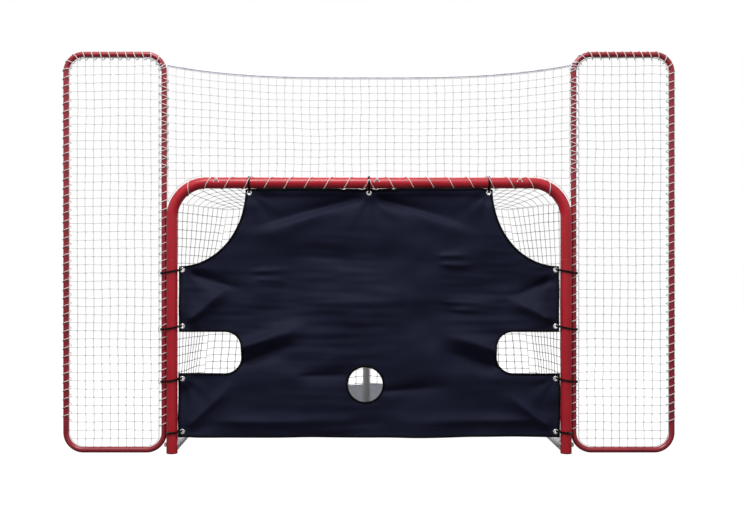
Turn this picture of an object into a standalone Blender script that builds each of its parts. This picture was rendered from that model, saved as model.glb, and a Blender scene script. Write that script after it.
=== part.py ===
"""Hockey goal with backstop wings, as an assembly of separate named pieces.

Units are metres and +Z is up. The shooter stands on the -Y side, with +X to the right.
The origin is on the floor, in the middle of the footprint.
"""
import math

import bmesh
import bpy
from mathutils import Vector

# Clearances
GAP = 0.0003              # between pieces that touch
RUNNING_GAP = 0.0005      # between pieces that lie side by side

# Goal frame, steel tube
POST_R = 0.0254
POST_WALL = 0.0018
POST_X = 0.895            # from the middle of the mouth to a post's axis
CROSSBAR_Z = 1.2286       # axis height
CORNER_R = 0.158          # bend radius at the axis
LEG_LENGTH = 0.1906       # the crossbar's leg, from its bend to the post
SPIGOT_LENGTH = 0.060
FOOT_FLANGE = 0.003
FOOT_EDGE = 0.002
FOOT_SPIGOT = 0.018

# Base and back bar, steel tube
BASE_R = 0.01905
BASE_WALL = 0.0015
BASE_DEPTH = 0.762        # goal line to the rear rail's axis
BASE_CORNER_R = 0.120
BACK_BAR_R = 0.016
BACK_BAR_WALL = 0.0015
BACK_BAR_DROP = 0.024     # front end, below the crossbar's axis
SHOULDER_DEPTH = 0.480    # behind the goal line
SHOULDER_DROP = 0.0636    # below the crossbar's axis
SHOULDER_R = 0.090
TAB_T = 0.004
TAB_SHOWS = 0.006         # between the middle tie and the back bar's end
TAB_IN_BAR = 0.050

# Joint between a base rail and its post
TONGUE_T = 0.005
TONGUE_HEIGHT = 0.024
TONGUE_LIFT = 0.007       # above the foot plug
TONGUE_IN_RAIL = 0.060
TONGUE_NOSE = 0.013       # past the bolt's axis
BOLT_R = 0.004
BOLT_HEAD_R = 0.009
BOLT_HEAD_H = 0.0032
NUT_R = 0.010
NUT_H = 0.0085
BOLT_TAIL = 0.0015        # past the nut

# Wings, steel tube
WING_R = 0.0127
WING_WALL = 0.0012
WING_WIDTH = 0.448        # between the axes of its uprights
WING_TOP_Z = 1.816        # top tube's axis
WING_CORNER_R = 0.080
WING_JOINT_Z = 0.908
WING_SPIGOT = 0.040
WING_SET_ANGLE = math.radians(29)    # behind the post's side

# Netting and cords
STRAND = 0.0036
LACE_D = 0.0035
LACE_GAP = 0.0010
LACE_PITCH = 0.090
LACE_END = 0.003          # before the crossbar's bend
LACE_PHASE = math.radians(60)        # from the top towards the front, at each tie
LACE_CROSSING_GAP = 0.0012
LACE_CROSSING_FLAT = 0.007
LACE_CROSSING_END = 0.016
ROPE_R = 0.0045
ROPE_DROP = 0.049         # at the wings, below their top tubes
ROPE_SAG = 0.062
WING_NET_CLEAR = 0.0032   # from the ties
NET_ON_TIE = 0.0012       # a border strand's axis, outside the ties
NET_OVER_BEND = 0.012     # where the backstop net's edge spans the crossbar's bend
NET_OVER_BAR = 0.010
NET_DRAWN_IN = 0.191      # where the net's side, back and top meet, inside the post's axis
NET_CORNER_DROP = 0.1086  # the same corner, below the crossbar's axis
NET_CORNER_LEAD = 0.030   # the same corner, in front of the back bar's shoulder
NET_BEND_SHARE = 0.94     # height share of the back net's row at the bar's bend
TOP_NET_ANGLE = math.radians(75)     # of its front edge, from the crossbar's top to the rear
SKIRT_T = 0.002
SKIRT_SHORT = 0.255       # each end, inside the post's axis
SKIRT_TOP_Z = 0.225
SKIRT_FOLD = 0.008
SKIRT_FOLD_LENGTH = 0.160

# Target sheet, eyelets and elastic ties
TARGET_T = 0.0012
TARGET_SIDE_GAP = 0.0076  # to a post
TARGET_TOP_GAP = 0.0015   # under the lacing
TARGET_BOTTOM_Z = 0.074
CUT_OUT_WIDTH = 0.301     # at the top corners
CUT_OUT_HEIGHT = 0.347
SIDE_HOLE_WIDTH = 0.282
SIDE_HOLE_LOW_Z = 0.364
SIDE_HOLE_HIGH_Z = 0.552
SIDE_HOLE_R = 0.075
FIVE_HOLE_X = -0.017
FIVE_HOLE_Z = 0.313
FIVE_HOLE_R = 0.079
EYELET_RIM = 0.0052
EYELET_T = 0.003
EYELET_EDGE = 0.014       # centre to the sheet's edge
EYELET_CORNER = 0.017     # centre to a top cut-out's corner
EYELET_INSET = 0.025      # centre to the bottom edge and the side holes
TIE_D = 0.0055
TIE_GAP = 0.0005
TIE_PLAY = 0.00305        # round a tie in its eyelet
TIE_TURN_GAP = 0.00125    # over an eyelet's rim
TIE_PULL = 0.0015         # how far a tie is drawn across its eyelet's hole

# Facets and mesh counts
POST_SIDES = 16
TUBE_SIDES = 12
EYELET_SIDES = 10
FIVE_HOLE_SIDES = 24
BEND_STEPS = 4
CROSSBAR_BEND_STEPS = 5
LOOP_SAMPLES = 16
LACE_STEPS = 14           # for each turn
WING_NET_COLUMNS = 4
WING_NET_ROWS = 17
BACKSTOP_COLUMNS = 18
BACKSTOP_ROWS = 4
SIDE_NET_COLUMNS = 3
SIDE_NET_ROWS = 5
BACK_NET_ROWS = 4
NET_HALF_COLUMNS = 5

# Places that follow from the sizes
TIE_REACH = POST_R + TIE_GAP + TIE_D
LACE_REACH = TIE_REACH + LACE_CROSSING_GAP + LACE_D
BORDER_R = TIE_REACH + NET_ON_TIE
SHOULDER_Z = CROSSBAR_Z - SHOULDER_DROP
RAIL_TOP_Z = 2 * BASE_R
NET_FOOT_Z = RAIL_TOP_Z + GAP + STRAND / 2
BAR_RUN = Vector((0, BASE_DEPTH - SHOULDER_DEPTH, RAIL_TOP_Z - SHOULDER_Z)).normalized()
BAR_HALF_DEPTH = BACK_BAR_R / -BAR_RUN.z
SKIRT_FROM_NET = STRAND / 2 + RUNNING_GAP + SKIRT_T / 2
BACK_NET_OFFSET = BAR_HALF_DEPTH + RUNNING_GAP + SKIRT_T / 2 + SKIRT_FROM_NET
REAR_REACH = BASE_DEPTH + BACK_NET_OFFSET + STRAND / 2
GOAL_Y = (LACE_REACH - REAR_REACH) / 2
REAR_Y = GOAL_Y + BASE_DEPTH
LEG_X = POST_X - CORNER_R
LEG_TOP_Z = CROSSBAR_Z - CORNER_R
POST_JOINT_Z = LEG_TOP_Z - LEG_LENGTH
BOLT_Z = FOOT_FLANGE + FOOT_SPIGOT + TONGUE_LIFT + TONGUE_HEIGHT / 2
WING_STEP = POST_R + 2 * TIE_GAP + TIE_D + WING_R    # room for the lowest tie between the tubes
WING_X = POST_X + WING_STEP * math.cos(WING_SET_ANGLE)
WING_Y = GOAL_Y + WING_STEP * math.sin(WING_SET_ANGLE)
WING_NET_INSET = WING_R + TIE_GAP + TIE_D + WING_NET_CLEAR + STRAND / 2
ROPE_Z = WING_TOP_Z - ROPE_DROP - ROPE_SAG
LACE_HALF_LENGTH = LEG_X - LACE_END
NET_CORNER = Vector((POST_X - NET_DRAWN_IN, GOAL_Y + SHOULDER_DEPTH - NET_CORNER_LEAD,
                     CROSSBAR_Z - NET_CORNER_DROP))
SIDE_NET_FRONT_Y = GOAL_Y + BORDER_R + STRAND
SKIRT_HALF_WIDTH = POST_X - SKIRT_SHORT
TARGET_HALF_WIDTH = POST_X - POST_R - TARGET_SIDE_GAP
TARGET_TOP_HALF = TARGET_HALF_WIDTH - CUT_OUT_WIDTH
TARGET_TOP_Z = CROSSBAR_Z - POST_R - LACE_GAP - LACE_D - TARGET_TOP_GAP
TARGET_CORNER_Z = TARGET_TOP_Z - CUT_OUT_HEIGHT
SIDE_HOLE_X = TARGET_HALF_WIDTH - SIDE_HOLE_WIDTH
EYELET_HOLE_R = TIE_D / 2 + TIE_PLAY
EYELET_R = EYELET_HOLE_R + EYELET_RIM
TIE_TURN_R = EYELET_T / 2 + TIE_TURN_GAP + TIE_D / 2
TOP_TIE_X = TARGET_TOP_HALF - EYELET_CORNER
SIDE_TIE_HEIGHTS = (TARGET_BOTTOM_Z + EYELET_INSET, SIDE_HOLE_LOW_Z - EYELET_INSET,
                    SIDE_HOLE_HIGH_Z + EYELET_INSET, TARGET_CORNER_Z - EYELET_CORNER)
SIDES = (("left", -1), ("right", 1))


def material(name, colour, roughness, metallic=0.0):
    """A plain material in the piece's colour."""
    result = bpy.data.materials.new(name)
    result.use_nodes = True
    shader = result.node_tree.nodes["Principled BSDF"]
    shader.inputs["Base Color"].default_value = (*colour, 1)
    shader.inputs["Roughness"].default_value = roughness
    shader.inputs["Metallic"].default_value = metallic
    return result


def add_object(name, data, finish, parent=None):
    """Links mesh or curve data into the scene as one named piece."""
    piece = bpy.data.objects.new(name, data)
    data.materials.append(finish)
    piece.parent = parent
    bpy.context.scene.collection.objects.link(piece)
    return piece


def add_mesh(name, shape, finish, parent=None):
    """Turns a bmesh into a piece, with its faces pointing out and round faces smooth."""
    bmesh.ops.recalc_face_normals(shape, faces=shape.faces)
    mesh = bpy.data.meshes.new(name)
    shape.to_mesh(mesh)
    shape.free()
    mesh.shade_smooth()
    mesh.set_sharp_from_angle(angle=math.radians(40))
    return add_object(name, mesh, finish, parent)


def add_cord(name, points, radius, finish, closed=False):
    """A cord as a round tube along a chain of points."""
    curve = bpy.data.curves.new(name, "CURVE")
    curve.dimensions = "3D"
    curve.bevel_depth = radius
    curve.bevel_resolution = 1
    curve.use_fill_caps = not closed
    spline = curve.splines.new("POLY")
    spline.points.add(len(points) - 1)
    for point, place in zip(spline.points, points):
        point.co = (*place, 1)
    spline.use_cyclic_u = closed
    return add_object(name, curve, finish)


def cut(piece, cutter):
    """Subtracts a hidden cutter from a piece."""
    cutter.hide_render = True
    cutter.display_type = "WIRE"
    step = piece.modifiers.new("cut_" + cutter.name, "BOOLEAN")
    step.operation = "DIFFERENCE"
    step.object = cutter


def ring(shape, centre, along, up, radius, sides):
    """A circle of vertices round centre, square to along."""
    across = along.cross(up)
    angles = [2 * math.pi * index / sides for index in range(sides)]
    return [shape.verts.new(centre + radius * (math.cos(a) * up + math.sin(a) * across)) for a in angles]


def bridge(shape, first, second):
    """A band of quads between two rings."""
    count = len(first)
    for index in range(count):
        after = (index + 1) % count
        shape.faces.new((first[index], first[after], second[after], second[index]))


def add_rings(shape, stations, up, sides):
    """Rings at stations of (centre, direction, radius), skinned in order."""
    rings = [ring(shape, centre, along, up, radius, sides) for centre, along, radius in stations]
    for first, second in zip(rings, rings[1:]):
        bridge(shape, first, second)
    return rings


def tube(outer, inner, up, sides):
    """A hollow tube between an outer and an inner chain of stations."""
    shape = bmesh.new()
    outside = add_rings(shape, outer, up, sides)
    inside = add_rings(shape, inner, up, sides)
    bridge(shape, outside[0], inside[0])
    bridge(shape, outside[-1], inside[-1])
    return shape


def turned(stations, up, sides):
    """A solid of revolution with flat ends."""
    shape = bmesh.new()
    rings = add_rings(shape, stations, up, sides)
    shape.faces.new(rings[0])
    shape.faces.new(rings[-1])
    return shape


def rounded_path(corners, radius, steps=BEND_STEPS):
    """Points and directions along a chain of straight runs with round bends."""
    runs = [(after - before).normalized() for before, after in zip(corners, corners[1:])]
    path = [(corners[0], runs[0])]
    for corner, into, out in zip(corners[1:], runs, runs[1:]):
        turn = into.angle(out)
        side = (out - into * into.dot(out)).normalized()
        start = corner - into * radius * math.tan(turn / 2)
        for step in range(steps + 1):
            angle = turn * step / steps
            centre_shift = side * radius * (1 - math.cos(angle)) + into * radius * math.sin(angle)
            path.append((start + centre_shift, into * math.cos(angle) + side * math.sin(angle)))
    path.append((corners[-1], runs[-1]))
    return path


def plain_tube(path, radius, wall, up, sides):
    """A tube of one size along a path."""
    outer = [(place, along, radius) for place, along in path]
    inner = [(place, along, radius - wall) for place, along in path]
    return tube(outer, inner, up, sides)


def spigot_stations(path, radius, wall, length, ends):
    """Outer and inner stations of a tube whose named ends are swaged to plug into its like."""
    neck = radius - wall - GAP
    outer = [(place, along, radius) for place, along in path]
    inner = [(place, along, radius - wall) for place, along in path]
    for end in ends:
        place, along = path[end]
        outwards = along if end else -along
        tip = place + outwards * length
        taper = place - outwards * 3 * wall
        outer_end = [outer[end], (place, along, neck), (tip, along, neck)]
        inner_end = [(taper, along, radius - wall), (place, along, neck - wall), (tip, along, neck - wall)]
        if end:
            outer[-1:] = outer_end
            inner[-1:] = inner_end
        else:
            outer[:1] = reversed(outer_end)
            inner[:1] = reversed(inner_end)
    return outer, inner


def prism(outline, low, high, place):
    """An outline of (u, v) points extruded from low to high, set in space by place(u, v, w)."""
    shape = bmesh.new()
    floor = [shape.verts.new(place(u, v, low)) for u, v in outline]
    roof = [shape.verts.new(place(u, v, high)) for u, v in outline]
    bridge(shape, floor, roof)
    shape.faces.new(floor)
    shape.faces.new(roof)
    return shape


def circle(u, v, radius, samples):
    """Points on a circle, the first one at angle 0."""
    angles = [2 * math.pi * index / samples for index in range(samples)]
    return [(u + radius * math.cos(a), v + radius * math.sin(a)) for a in angles]


def hull(points):
    """The convex outline round a set of (u, v) points, in order."""
    def half(chain):
        kept = []
        for point in chain:
            while len(kept) > 1 and turn_of(kept[-2], kept[-1], point) <= 0:
                kept.pop()
            kept.append(point)
        return kept[:-1]

    def turn_of(a, b, c):
        return (b[0] - a[0]) * (c[1] - a[1]) - (b[1] - a[1]) * (c[0] - a[0])

    ordered = sorted(points)
    return half(ordered) + half(ordered[::-1])


def cylinder_cutter(name, centre, along, up, radius, length, sides):
    """A hidden solid cylinder about centre."""
    ends = (centre - along * length / 2, centre + along * length / 2)
    return add_mesh(name, turned([(end, along, radius) for end in ends], up, sides), GUIDE)


def net_panel(name, grid, finish, parent=None):
    """A net with a strand along each edge of a grid of points."""
    shape = bmesh.new()
    rows = [[shape.verts.new(point) for point in row] for row in grid]
    for lower, upper in zip(rows, rows[1:]):
        for index in range(len(lower) - 1):
            shape.faces.new((lower[index], lower[index + 1], upper[index + 1], upper[index]))
    panel = add_mesh(name, shape, finish, parent)
    strands = panel.modifiers.new("strands", "WIREFRAME")
    strands.thickness = STRAND
    strands.use_boundary = True
    strands.use_even_offset = False
    return panel


def steps(low, high, count):
    """Evenly spaced values from low to high."""
    return [low + (high - low) * index / count for index in range(count + 1)]


X_AXIS = Vector((1, 0, 0))
Y_AXIS = Vector((0, 1, 0))
Z_AXIS = Vector((0, 0, 1))

for leftover in list(bpy.data.objects):
    bpy.data.objects.remove(leftover)

RED = material("red_paint", (0.42, 0.014, 0.022), 0.35)
WHITE = material("white_paint", (0.62, 0.63, 0.66), 0.4)
STEEL = material("zinc_steel", (0.6, 0.6, 0.6), 0.3, 1.0)
BLACK = material("black_plastic", (0.02, 0.02, 0.022), 0.5)
NETTING = material("white_netting", (0.82, 0.82, 0.82), 0.8)
ROPE = material("pale_rope", (0.75, 0.76, 0.85), 0.8)
NAVY = material("navy_cloth", (0.012, 0.013, 0.028), 0.7)
SKIRT = material("grey_cloth", (0.35, 0.35, 0.38), 0.8)
ELASTIC = material("black_elastic", (0.012, 0.012, 0.012), 0.8)
GUIDE = material("guide", (0.5, 0.5, 0.5), 0.5)


def crossbar():
    """The top tube with its two bends and short legs."""
    foot_z = POST_JOINT_Z + GAP
    corners = [Vector((-POST_X, GOAL_Y, foot_z)), Vector((-POST_X, GOAL_Y, CROSSBAR_Z)),
               Vector((POST_X, GOAL_Y, CROSSBAR_Z)), Vector((POST_X, GOAL_Y, foot_z))]
    path = rounded_path(corners, CORNER_R, CROSSBAR_BEND_STEPS)
    add_mesh("crossbar", plain_tube(path, POST_R, POST_WALL, Y_AXIS, POST_SIDES), RED)


def post(label, side):
    """A post with its spigot, slot and bolt holes, and the plug in its foot."""
    x = side * POST_X
    path = [(Vector((x, GOAL_Y, FOOT_FLANGE + GAP)), Z_AXIS), (Vector((x, GOAL_Y, POST_JOINT_Z)), Z_AXIS)]
    outer, inner = spigot_stations(path, POST_R, POST_WALL, SPIGOT_LENGTH, (-1,))
    piece = add_mesh(label + "_post", tube(outer, inner, Y_AXIS, POST_SIDES), RED)
    bolt_place = Vector((x, GOAL_Y, BOLT_Z))
    cut(piece, cylinder_cutter(label + "_bolt_hole", bolt_place, X_AXIS, Z_AXIS, BOLT_R + GAP,
                               3 * POST_R, TUBE_SIDES))
    half_slot = TONGUE_T / 2 + GAP
    half_height = TONGUE_HEIGHT / 2 + GAP
    slot = [(-half_slot, -half_height), (half_slot, -half_height),
            (half_slot, half_height), (-half_slot, half_height)]
    cut(piece, add_mesh(label + "_slot", prism(slot, 0, 2 * POST_R, lambda u, v, w: bolt_place
                                               + Vector((u, w, v))), GUIDE))
    bore = POST_R - POST_WALL - GAP
    heights = ((0, POST_R - FOOT_EDGE), (FOOT_EDGE, POST_R), (FOOT_FLANGE, POST_R),
               (FOOT_FLANGE, bore), (FOOT_FLANGE + FOOT_SPIGOT, bore))
    stations = [(Vector((x, GOAL_Y, z)), Z_AXIS, radius) for z, radius in heights]
    add_mesh(label + "_foot_plug", turned(stations, Y_AXIS, POST_SIDES), BLACK)


def base_joint(label, side):
    """The tongue between a post and its rail, and the bolt and nut through them."""
    x = side * POST_X
    rail_start = POST_R + 2 * GAP
    low = BOLT_Z - TONGUE_HEIGHT / 2
    high = BOLT_Z + TONGUE_HEIGHT / 2
    bore = BASE_R - BASE_WALL - GAP
    rail_high = BASE_R + math.sqrt(bore ** 2 - (TONGUE_T / 2) ** 2) * math.cos(math.pi / TUBE_SIDES) - GAP
    rail_low = 2 * BASE_R - rail_high
    heel = rail_start + BASE_WALL
    outline = [(-TONGUE_NOSE, low), (POST_R + GAP, low), (POST_R + GAP, rail_low),
               (heel + TONGUE_IN_RAIL, rail_low), (heel + TONGUE_IN_RAIL, rail_high),
               (heel, rail_high), (heel, high), (-TONGUE_NOSE, high)]
    tongue = add_mesh(label + "_base_tongue", prism(outline, -TONGUE_T / 2, TONGUE_T / 2,
                      lambda u, v, w: Vector((x + w, GOAL_Y + u, v))), STEEL)
    hole_place = Vector((x, GOAL_Y, BOLT_Z))
    cut(tongue, cylinder_cutter(label + "_tongue_hole", hole_place, X_AXIS, Z_AXIS, BOLT_R + GAP,
                                4 * TONGUE_T, TUBE_SIDES))
    seat = POST_R + GAP
    reach = ((-seat - BOLT_HEAD_H, BOLT_HEAD_R / 2), (-seat - BOLT_HEAD_H / 3, BOLT_HEAD_R),
             (-seat, BOLT_HEAD_R), (-seat, BOLT_R), (seat + NUT_H + BOLT_TAIL, BOLT_R))
    bolt = [(Vector((x + side * u, GOAL_Y, BOLT_Z)), X_AXIS, radius) for u, radius in reach]
    add_mesh(label + "_base_bolt", turned(bolt, Z_AXIS, TUBE_SIDES), STEEL)
    path = [(Vector((x + side * u, GOAL_Y, BOLT_Z)), X_AXIS) for u in (seat, seat + NUT_H)]
    nut = plain_tube(path, NUT_R, NUT_R - BOLT_R - GAP, Z_AXIS, TUBE_SIDES)
    add_mesh(label + "_base_nut", nut, STEEL)


def base_rails():
    """The two side rails and the rear rail on the floor."""
    bend_y = GOAL_Y + BASE_DEPTH - BASE_CORNER_R
    for label, side in SIDES:
        heel = GOAL_Y + POST_R + 2 * GAP + BASE_WALL + GAP
        path = [(Vector((side * POST_X, y, BASE_R)), Y_AXIS) for y in (heel, bend_y - GAP)]
        rail = plain_tube(path, BASE_R, BASE_WALL, Z_AXIS, TUBE_SIDES)
        add_mesh(label + "_base_rail", rail, WHITE)
    rear = [Vector((-POST_X, bend_y, BASE_R)), Vector((-POST_X, GOAL_Y + BASE_DEPTH, BASE_R)),
            Vector((POST_X, GOAL_Y + BASE_DEPTH, BASE_R)), Vector((POST_X, bend_y, BASE_R))]
    path = rounded_path(rear, BASE_CORNER_R)
    add_mesh("base_rear_rail", plain_tube(path, BASE_R, BASE_WALL, Z_AXIS, TUBE_SIDES), WHITE)


def back_bar_path():
    """The back bar's axis: back from the crossbar, over a shoulder and down to the rear rail."""
    start = Vector((0, GOAL_Y, CROSSBAR_Z - BACK_BAR_DROP))
    shoulder = Vector((0, GOAL_Y + SHOULDER_DEPTH, SHOULDER_Z))
    behind_tie = start + (shoulder - start).normalized() * (TIE_REACH + TAB_SHOWS)
    return rounded_path([behind_tie, shoulder, Vector((0, REAR_Y, BASE_R))], SHOULDER_R)


def back_bar():
    """The back bar, coped to sit on the rear rail, and the tab that holds it to the crossbar."""
    path = back_bar_path()
    piece = add_mesh("back_bar", plain_tube(path, BACK_BAR_R, BACK_BAR_WALL, X_AXIS, TUBE_SIDES), WHITE)
    cut(piece, cylinder_cutter("rail_cope", Vector((0, REAR_Y, BASE_R)), X_AXIS, Z_AXIS, BASE_R + GAP,
                               6 * BACK_BAR_R, TUBE_SIDES))
    end, along = path[0]
    upright = Vector((0, -along.z, along.y))
    low_x = TIE_D / 2 + RUNNING_GAP
    bore = (BACK_BAR_R - BACK_BAR_WALL) * math.cos(math.pi / TUBE_SIDES) - GAP
    half = math.sqrt(bore ** 2 - (low_x + TAB_T) ** 2)
    outline = [(-TIE_REACH - TAB_SHOWS, -half), (TAB_IN_BAR, -half),
               (TAB_IN_BAR, half), (-TIE_REACH - TAB_SHOWS, half)]
    tab = add_mesh("back_bar_tab", prism(outline, low_x, low_x + TAB_T,
                   lambda u, v, w: end + along * u + upright * v + X_AXIS * w), STEEL)
    cut(tab, cylinder_cutter("crossbar_cope", Vector((0, GOAL_Y, CROSSBAR_Z)), X_AXIS, Y_AXIS,
                             POST_R + GAP, 6 * BACK_BAR_R, POST_SIDES))
    below = [(-POST_R, -2 * POST_R), (POST_R / 2, -2 * POST_R), (POST_R / 2, 0), (-POST_R, 0)]
    cut(tab, add_mesh("tab_toe", prism(below, -BACK_BAR_R, BACK_BAR_R, lambda u, v, w:
                      Vector((w, GOAL_Y + u, CROSSBAR_Z + v))), GUIDE))


def wing(label, side):
    """A wing's two hoops and its net, on an empty that stands on the turning axis."""
    axis = bpy.data.objects.new(label + "_wing_axis", None)
    axis.location = (side * WING_X, WING_Y, 0)
    bpy.context.scene.collection.objects.link(axis)

    def spot(u, z):
        return Vector((side * u, 0, z))

    top = [spot(0, WING_JOINT_Z + GAP), spot(0, WING_TOP_Z),
           spot(WING_WIDTH, WING_TOP_Z), spot(WING_WIDTH, WING_JOINT_Z + GAP)]
    path = rounded_path(top, WING_CORNER_R)
    add_mesh(label + "_wing_upper_hoop", plain_tube(path, WING_R, WING_WALL, Y_AXIS, TUBE_SIDES), RED, axis)
    bottom = [spot(0, WING_JOINT_Z), spot(0, WING_R), spot(WING_WIDTH, WING_R),
              spot(WING_WIDTH, WING_JOINT_Z)]
    path = rounded_path(bottom, WING_CORNER_R)
    outer, inner = spigot_stations(path, WING_R, WING_WALL, WING_SPIGOT, (0, -1))
    add_mesh(label + "_wing_lower_hoop", tube(outer, inner, Y_AXIS, TUBE_SIDES), RED, axis)

    edge = WING_R + GAP + STRAND / 2
    clear_r = WING_CORNER_R - edge - STRAND / 2
    low_u, high_u = WING_NET_INSET, WING_WIDTH - edge
    low_z, high_z = WING_R + edge, WING_TOP_Z - edge

    def clear_of_bend(u, z):
        """Draws a point that lies in a bend back to the bend's inner side."""
        centre_u = min(max(u, WING_CORNER_R), WING_WIDTH - WING_CORNER_R)
        centre_z = min(max(z, WING_R + WING_CORNER_R), WING_TOP_Z - WING_CORNER_R)
        away = Vector((u - centre_u, z - centre_z))
        if away.x and away.y and away.length > clear_r:
            away = away.normalized() * clear_r
        return spot(centre_u + away.x, centre_z + away.y)

    grid = [[clear_of_bend(u, z) for u in steps(low_u, high_u, WING_NET_COLUMNS)]
            for z in steps(low_z, high_z, WING_NET_ROWS)]
    net_panel(label + "_wing_net", grid, NETTING, axis)


def crossbar_profile(x, offset):
    """Height of a line that keeps offset above the crossbar's axis, round its bends too."""
    beyond = max(abs(x) - LEG_X, 0)
    return LEG_TOP_Z + math.sqrt((CORNER_R + offset) ** 2 - beyond ** 2)


def rope_height(x):
    """Height of the sagging rope's axis."""
    return ROPE_Z + ROPE_SAG * abs(x / WING_X) ** 3


def backstop():
    """The net above the crossbar, between the wings, and the rope along its top."""
    half = WING_X - WING_R - RUNNING_GAP - STRAND
    behind = WING_Y - GOAL_Y
    lift = math.sqrt(max(BORDER_R ** 2 - behind ** 2, 0))
    columns = steps(-half, half, BACKSTOP_COLUMNS)
    grid = []
    for share in steps(0, 1, BACKSTOP_ROWS):
        row = []
        for x in columns:
            low = crossbar_profile(x, lift + NET_OVER_BEND * (abs(x) > LEG_X))
            high = rope_height(x) - ROPE_R - GAP - STRAND / 2
            row.append(Vector((x, WING_Y, low + (high - low) * share)))
        grid.append(row)
    net_panel("backstop_net", grid, NETTING)
    rope = [Vector((x, WING_Y, rope_height(x))) for x in columns]
    add_cord("backstop_rope", rope, ROPE_R, ROPE)


def mirrored_row(centre, end, columns):
    """Points from the left end through the centre to the right end, straight on each side."""
    right = [centre.lerp(end, share) for share in steps(0, 1, columns)]
    left = [Vector((-point.x, point.y, point.z)) for point in right[:0:-1]]
    return left + right


def net_corner(share):
    """A point up the edge where the net's right side meets its back."""
    drawn_in = BASE_CORNER_R * (1 - math.sqrt(0.5))
    low = Vector((POST_X - drawn_in, REAR_Y - drawn_in, NET_FOOT_Z))
    return low.lerp(NET_CORNER, share)


def back_net_foot():
    """The back net's lower edge: along the rear rail, and round the back bar's foot."""
    row = mirrored_row(Vector((0, REAR_Y, NET_FOOT_Z)), net_corner(0), NET_HALF_COLUMNS)
    for point in row[1:-1]:
        point.y = REAR_Y
    row[NET_HALF_COLUMNS].y += BACK_NET_OFFSET
    return row


def net_over_shoulder():
    """Where the net passes the back bar's bend: above it, outside it and behind it."""
    bar = back_bar_path()
    clear = BACK_BAR_R + NET_OVER_BAR
    places = (bar[1], bar[1 + BEND_STEPS // 2], bar[-2])
    return [place + Vector((0, -along.z, along.y)) * clear for place, along in places]


def back_net_shoulder():
    """The back net's row at the lower end of the back bar's bend."""
    return mirrored_row(net_over_shoulder()[-1], net_corner(NET_BEND_SHARE), NET_HALF_COLUMNS)


def side_net(label, side):
    """A side of the goal's net, from the post to the back's edge."""
    grid = []
    for share in steps(0, 1, SIDE_NET_ROWS):
        back = net_corner(share) - Vector((STRAND / 2, 3 * STRAND, 0))
        front = Vector((POST_X, SIDE_NET_FRONT_Y, back.z))
        row = [front.lerp(back, part) for part in steps(0, 1, SIDE_NET_COLUMNS)]
        grid.append([Vector((side * point.x, point.y, point.z)) for point in row])
    net_panel(label + "_side_net", grid, NETTING)


def back_and_top_net():
    """The back of the goal's net, which leans on the back bar, and its top."""
    over, ridge, behind = net_over_shoulder()
    foot, shoulder = back_net_foot(), back_net_shoulder()
    grid = [[low.lerp(high, share) for low, high in zip(foot, shoulder)]
            for share in steps(0, 1, BACK_NET_ROWS)]
    top_row = mirrored_row(ridge, net_corner(1), NET_HALF_COLUMNS)
    net_panel("back_net", grid + [top_row], NETTING)

    lift = Vector((0, 0, 3 * STRAND))
    rear = [point + lift for point in top_row]
    front_y = GOAL_Y + BORDER_R * math.sin(TOP_NET_ANGLE)
    half = POST_X - 2 * STRAND
    front = [Vector((x, front_y, crossbar_profile(x, BORDER_R * math.cos(TOP_NET_ANGLE))))
             for x in steps(-half, half, 2 * NET_HALF_COLUMNS)]
    share = (over.y - front_y) / (ridge.y - front_y)
    middle = [near.lerp(far, share) for near, far in zip(front, rear)]
    middle[NET_HALF_COLUMNS] = over + lift
    net_panel("top_net", [front, middle, rear], NETTING)


def skirt():
    """The cloth strip inside the back net, above the rear rail, in shallow folds."""
    foot, shoulder = back_net_foot(), back_net_shoulder()
    count = 2 * round(4 * SKIRT_HALF_WIDTH / SKIRT_FOLD_LENGTH)
    shape = bmesh.new()
    rings = []
    for x in steps(-SKIRT_HALF_WIDTH, SKIRT_HALF_WIDTH, count):
        column = (x / foot[-1].x + 1) * NET_HALF_COLUMNS
        index = min(int(column), 2 * NET_HALF_COLUMNS - 1)
        low = foot[index].lerp(foot[index + 1], column - index)
        high = shoulder[index].lerp(shoulder[index + 1], column - index)
        fold = SKIRT_FOLD * (1 - math.cos(2 * math.pi * x / SKIRT_FOLD_LENGTH)) / 2
        top = low.lerp(high, (SKIRT_TOP_Z - low.z) / (high.z - low.z))
        corners = []
        for place, z in ((low, RAIL_TOP_Z + 2 * GAP), (top, SKIRT_TOP_Z)):
            middle = place.y - SKIRT_FROM_NET - fold
            corners += [Vector((x, middle - SKIRT_T / 2, z)), Vector((x, middle + SKIRT_T / 2, z))]
        rings.append([shape.verts.new(corners[index]) for index in (0, 1, 3, 2)])
    for first, second in zip(rings, rings[1:]):
        bridge(shape, first, second)
    shape.faces.new(rings[0])
    shape.faces.new(rings[-1])
    add_mesh("skirt", shape, SKIRT)


def target_outline():
    """The sheet's outline, from the middle of its top edge clockwise round its right half."""
    def arc(u, v, radius_u, radius_v, start, end, count):
        return [(u + radius_u * math.cos(math.radians(a)), v + radius_v * math.sin(math.radians(a)))
                for a in steps(start, end, count)]

    inner = SIDE_HOLE_X + SIDE_HOLE_R
    right = arc(TARGET_HALF_WIDTH, TARGET_TOP_Z, TARGET_HALF_WIDTH - TARGET_TOP_HALF,
                TARGET_TOP_Z - TARGET_CORNER_Z, 180, 270, 8)
    right.append((TARGET_HALF_WIDTH, SIDE_HOLE_HIGH_Z))
    right += arc(inner, SIDE_HOLE_HIGH_Z - SIDE_HOLE_R, SIDE_HOLE_R, SIDE_HOLE_R, 90, 180, 4)
    right += arc(inner, SIDE_HOLE_LOW_Z + SIDE_HOLE_R, SIDE_HOLE_R, SIDE_HOLE_R, 180, 270, 4)
    right += [(TARGET_HALF_WIDTH, SIDE_HOLE_LOW_Z), (TARGET_HALF_WIDTH, TARGET_BOTTOM_Z)]
    return right + [(-x, z) for x, z in reversed(right)]


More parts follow.
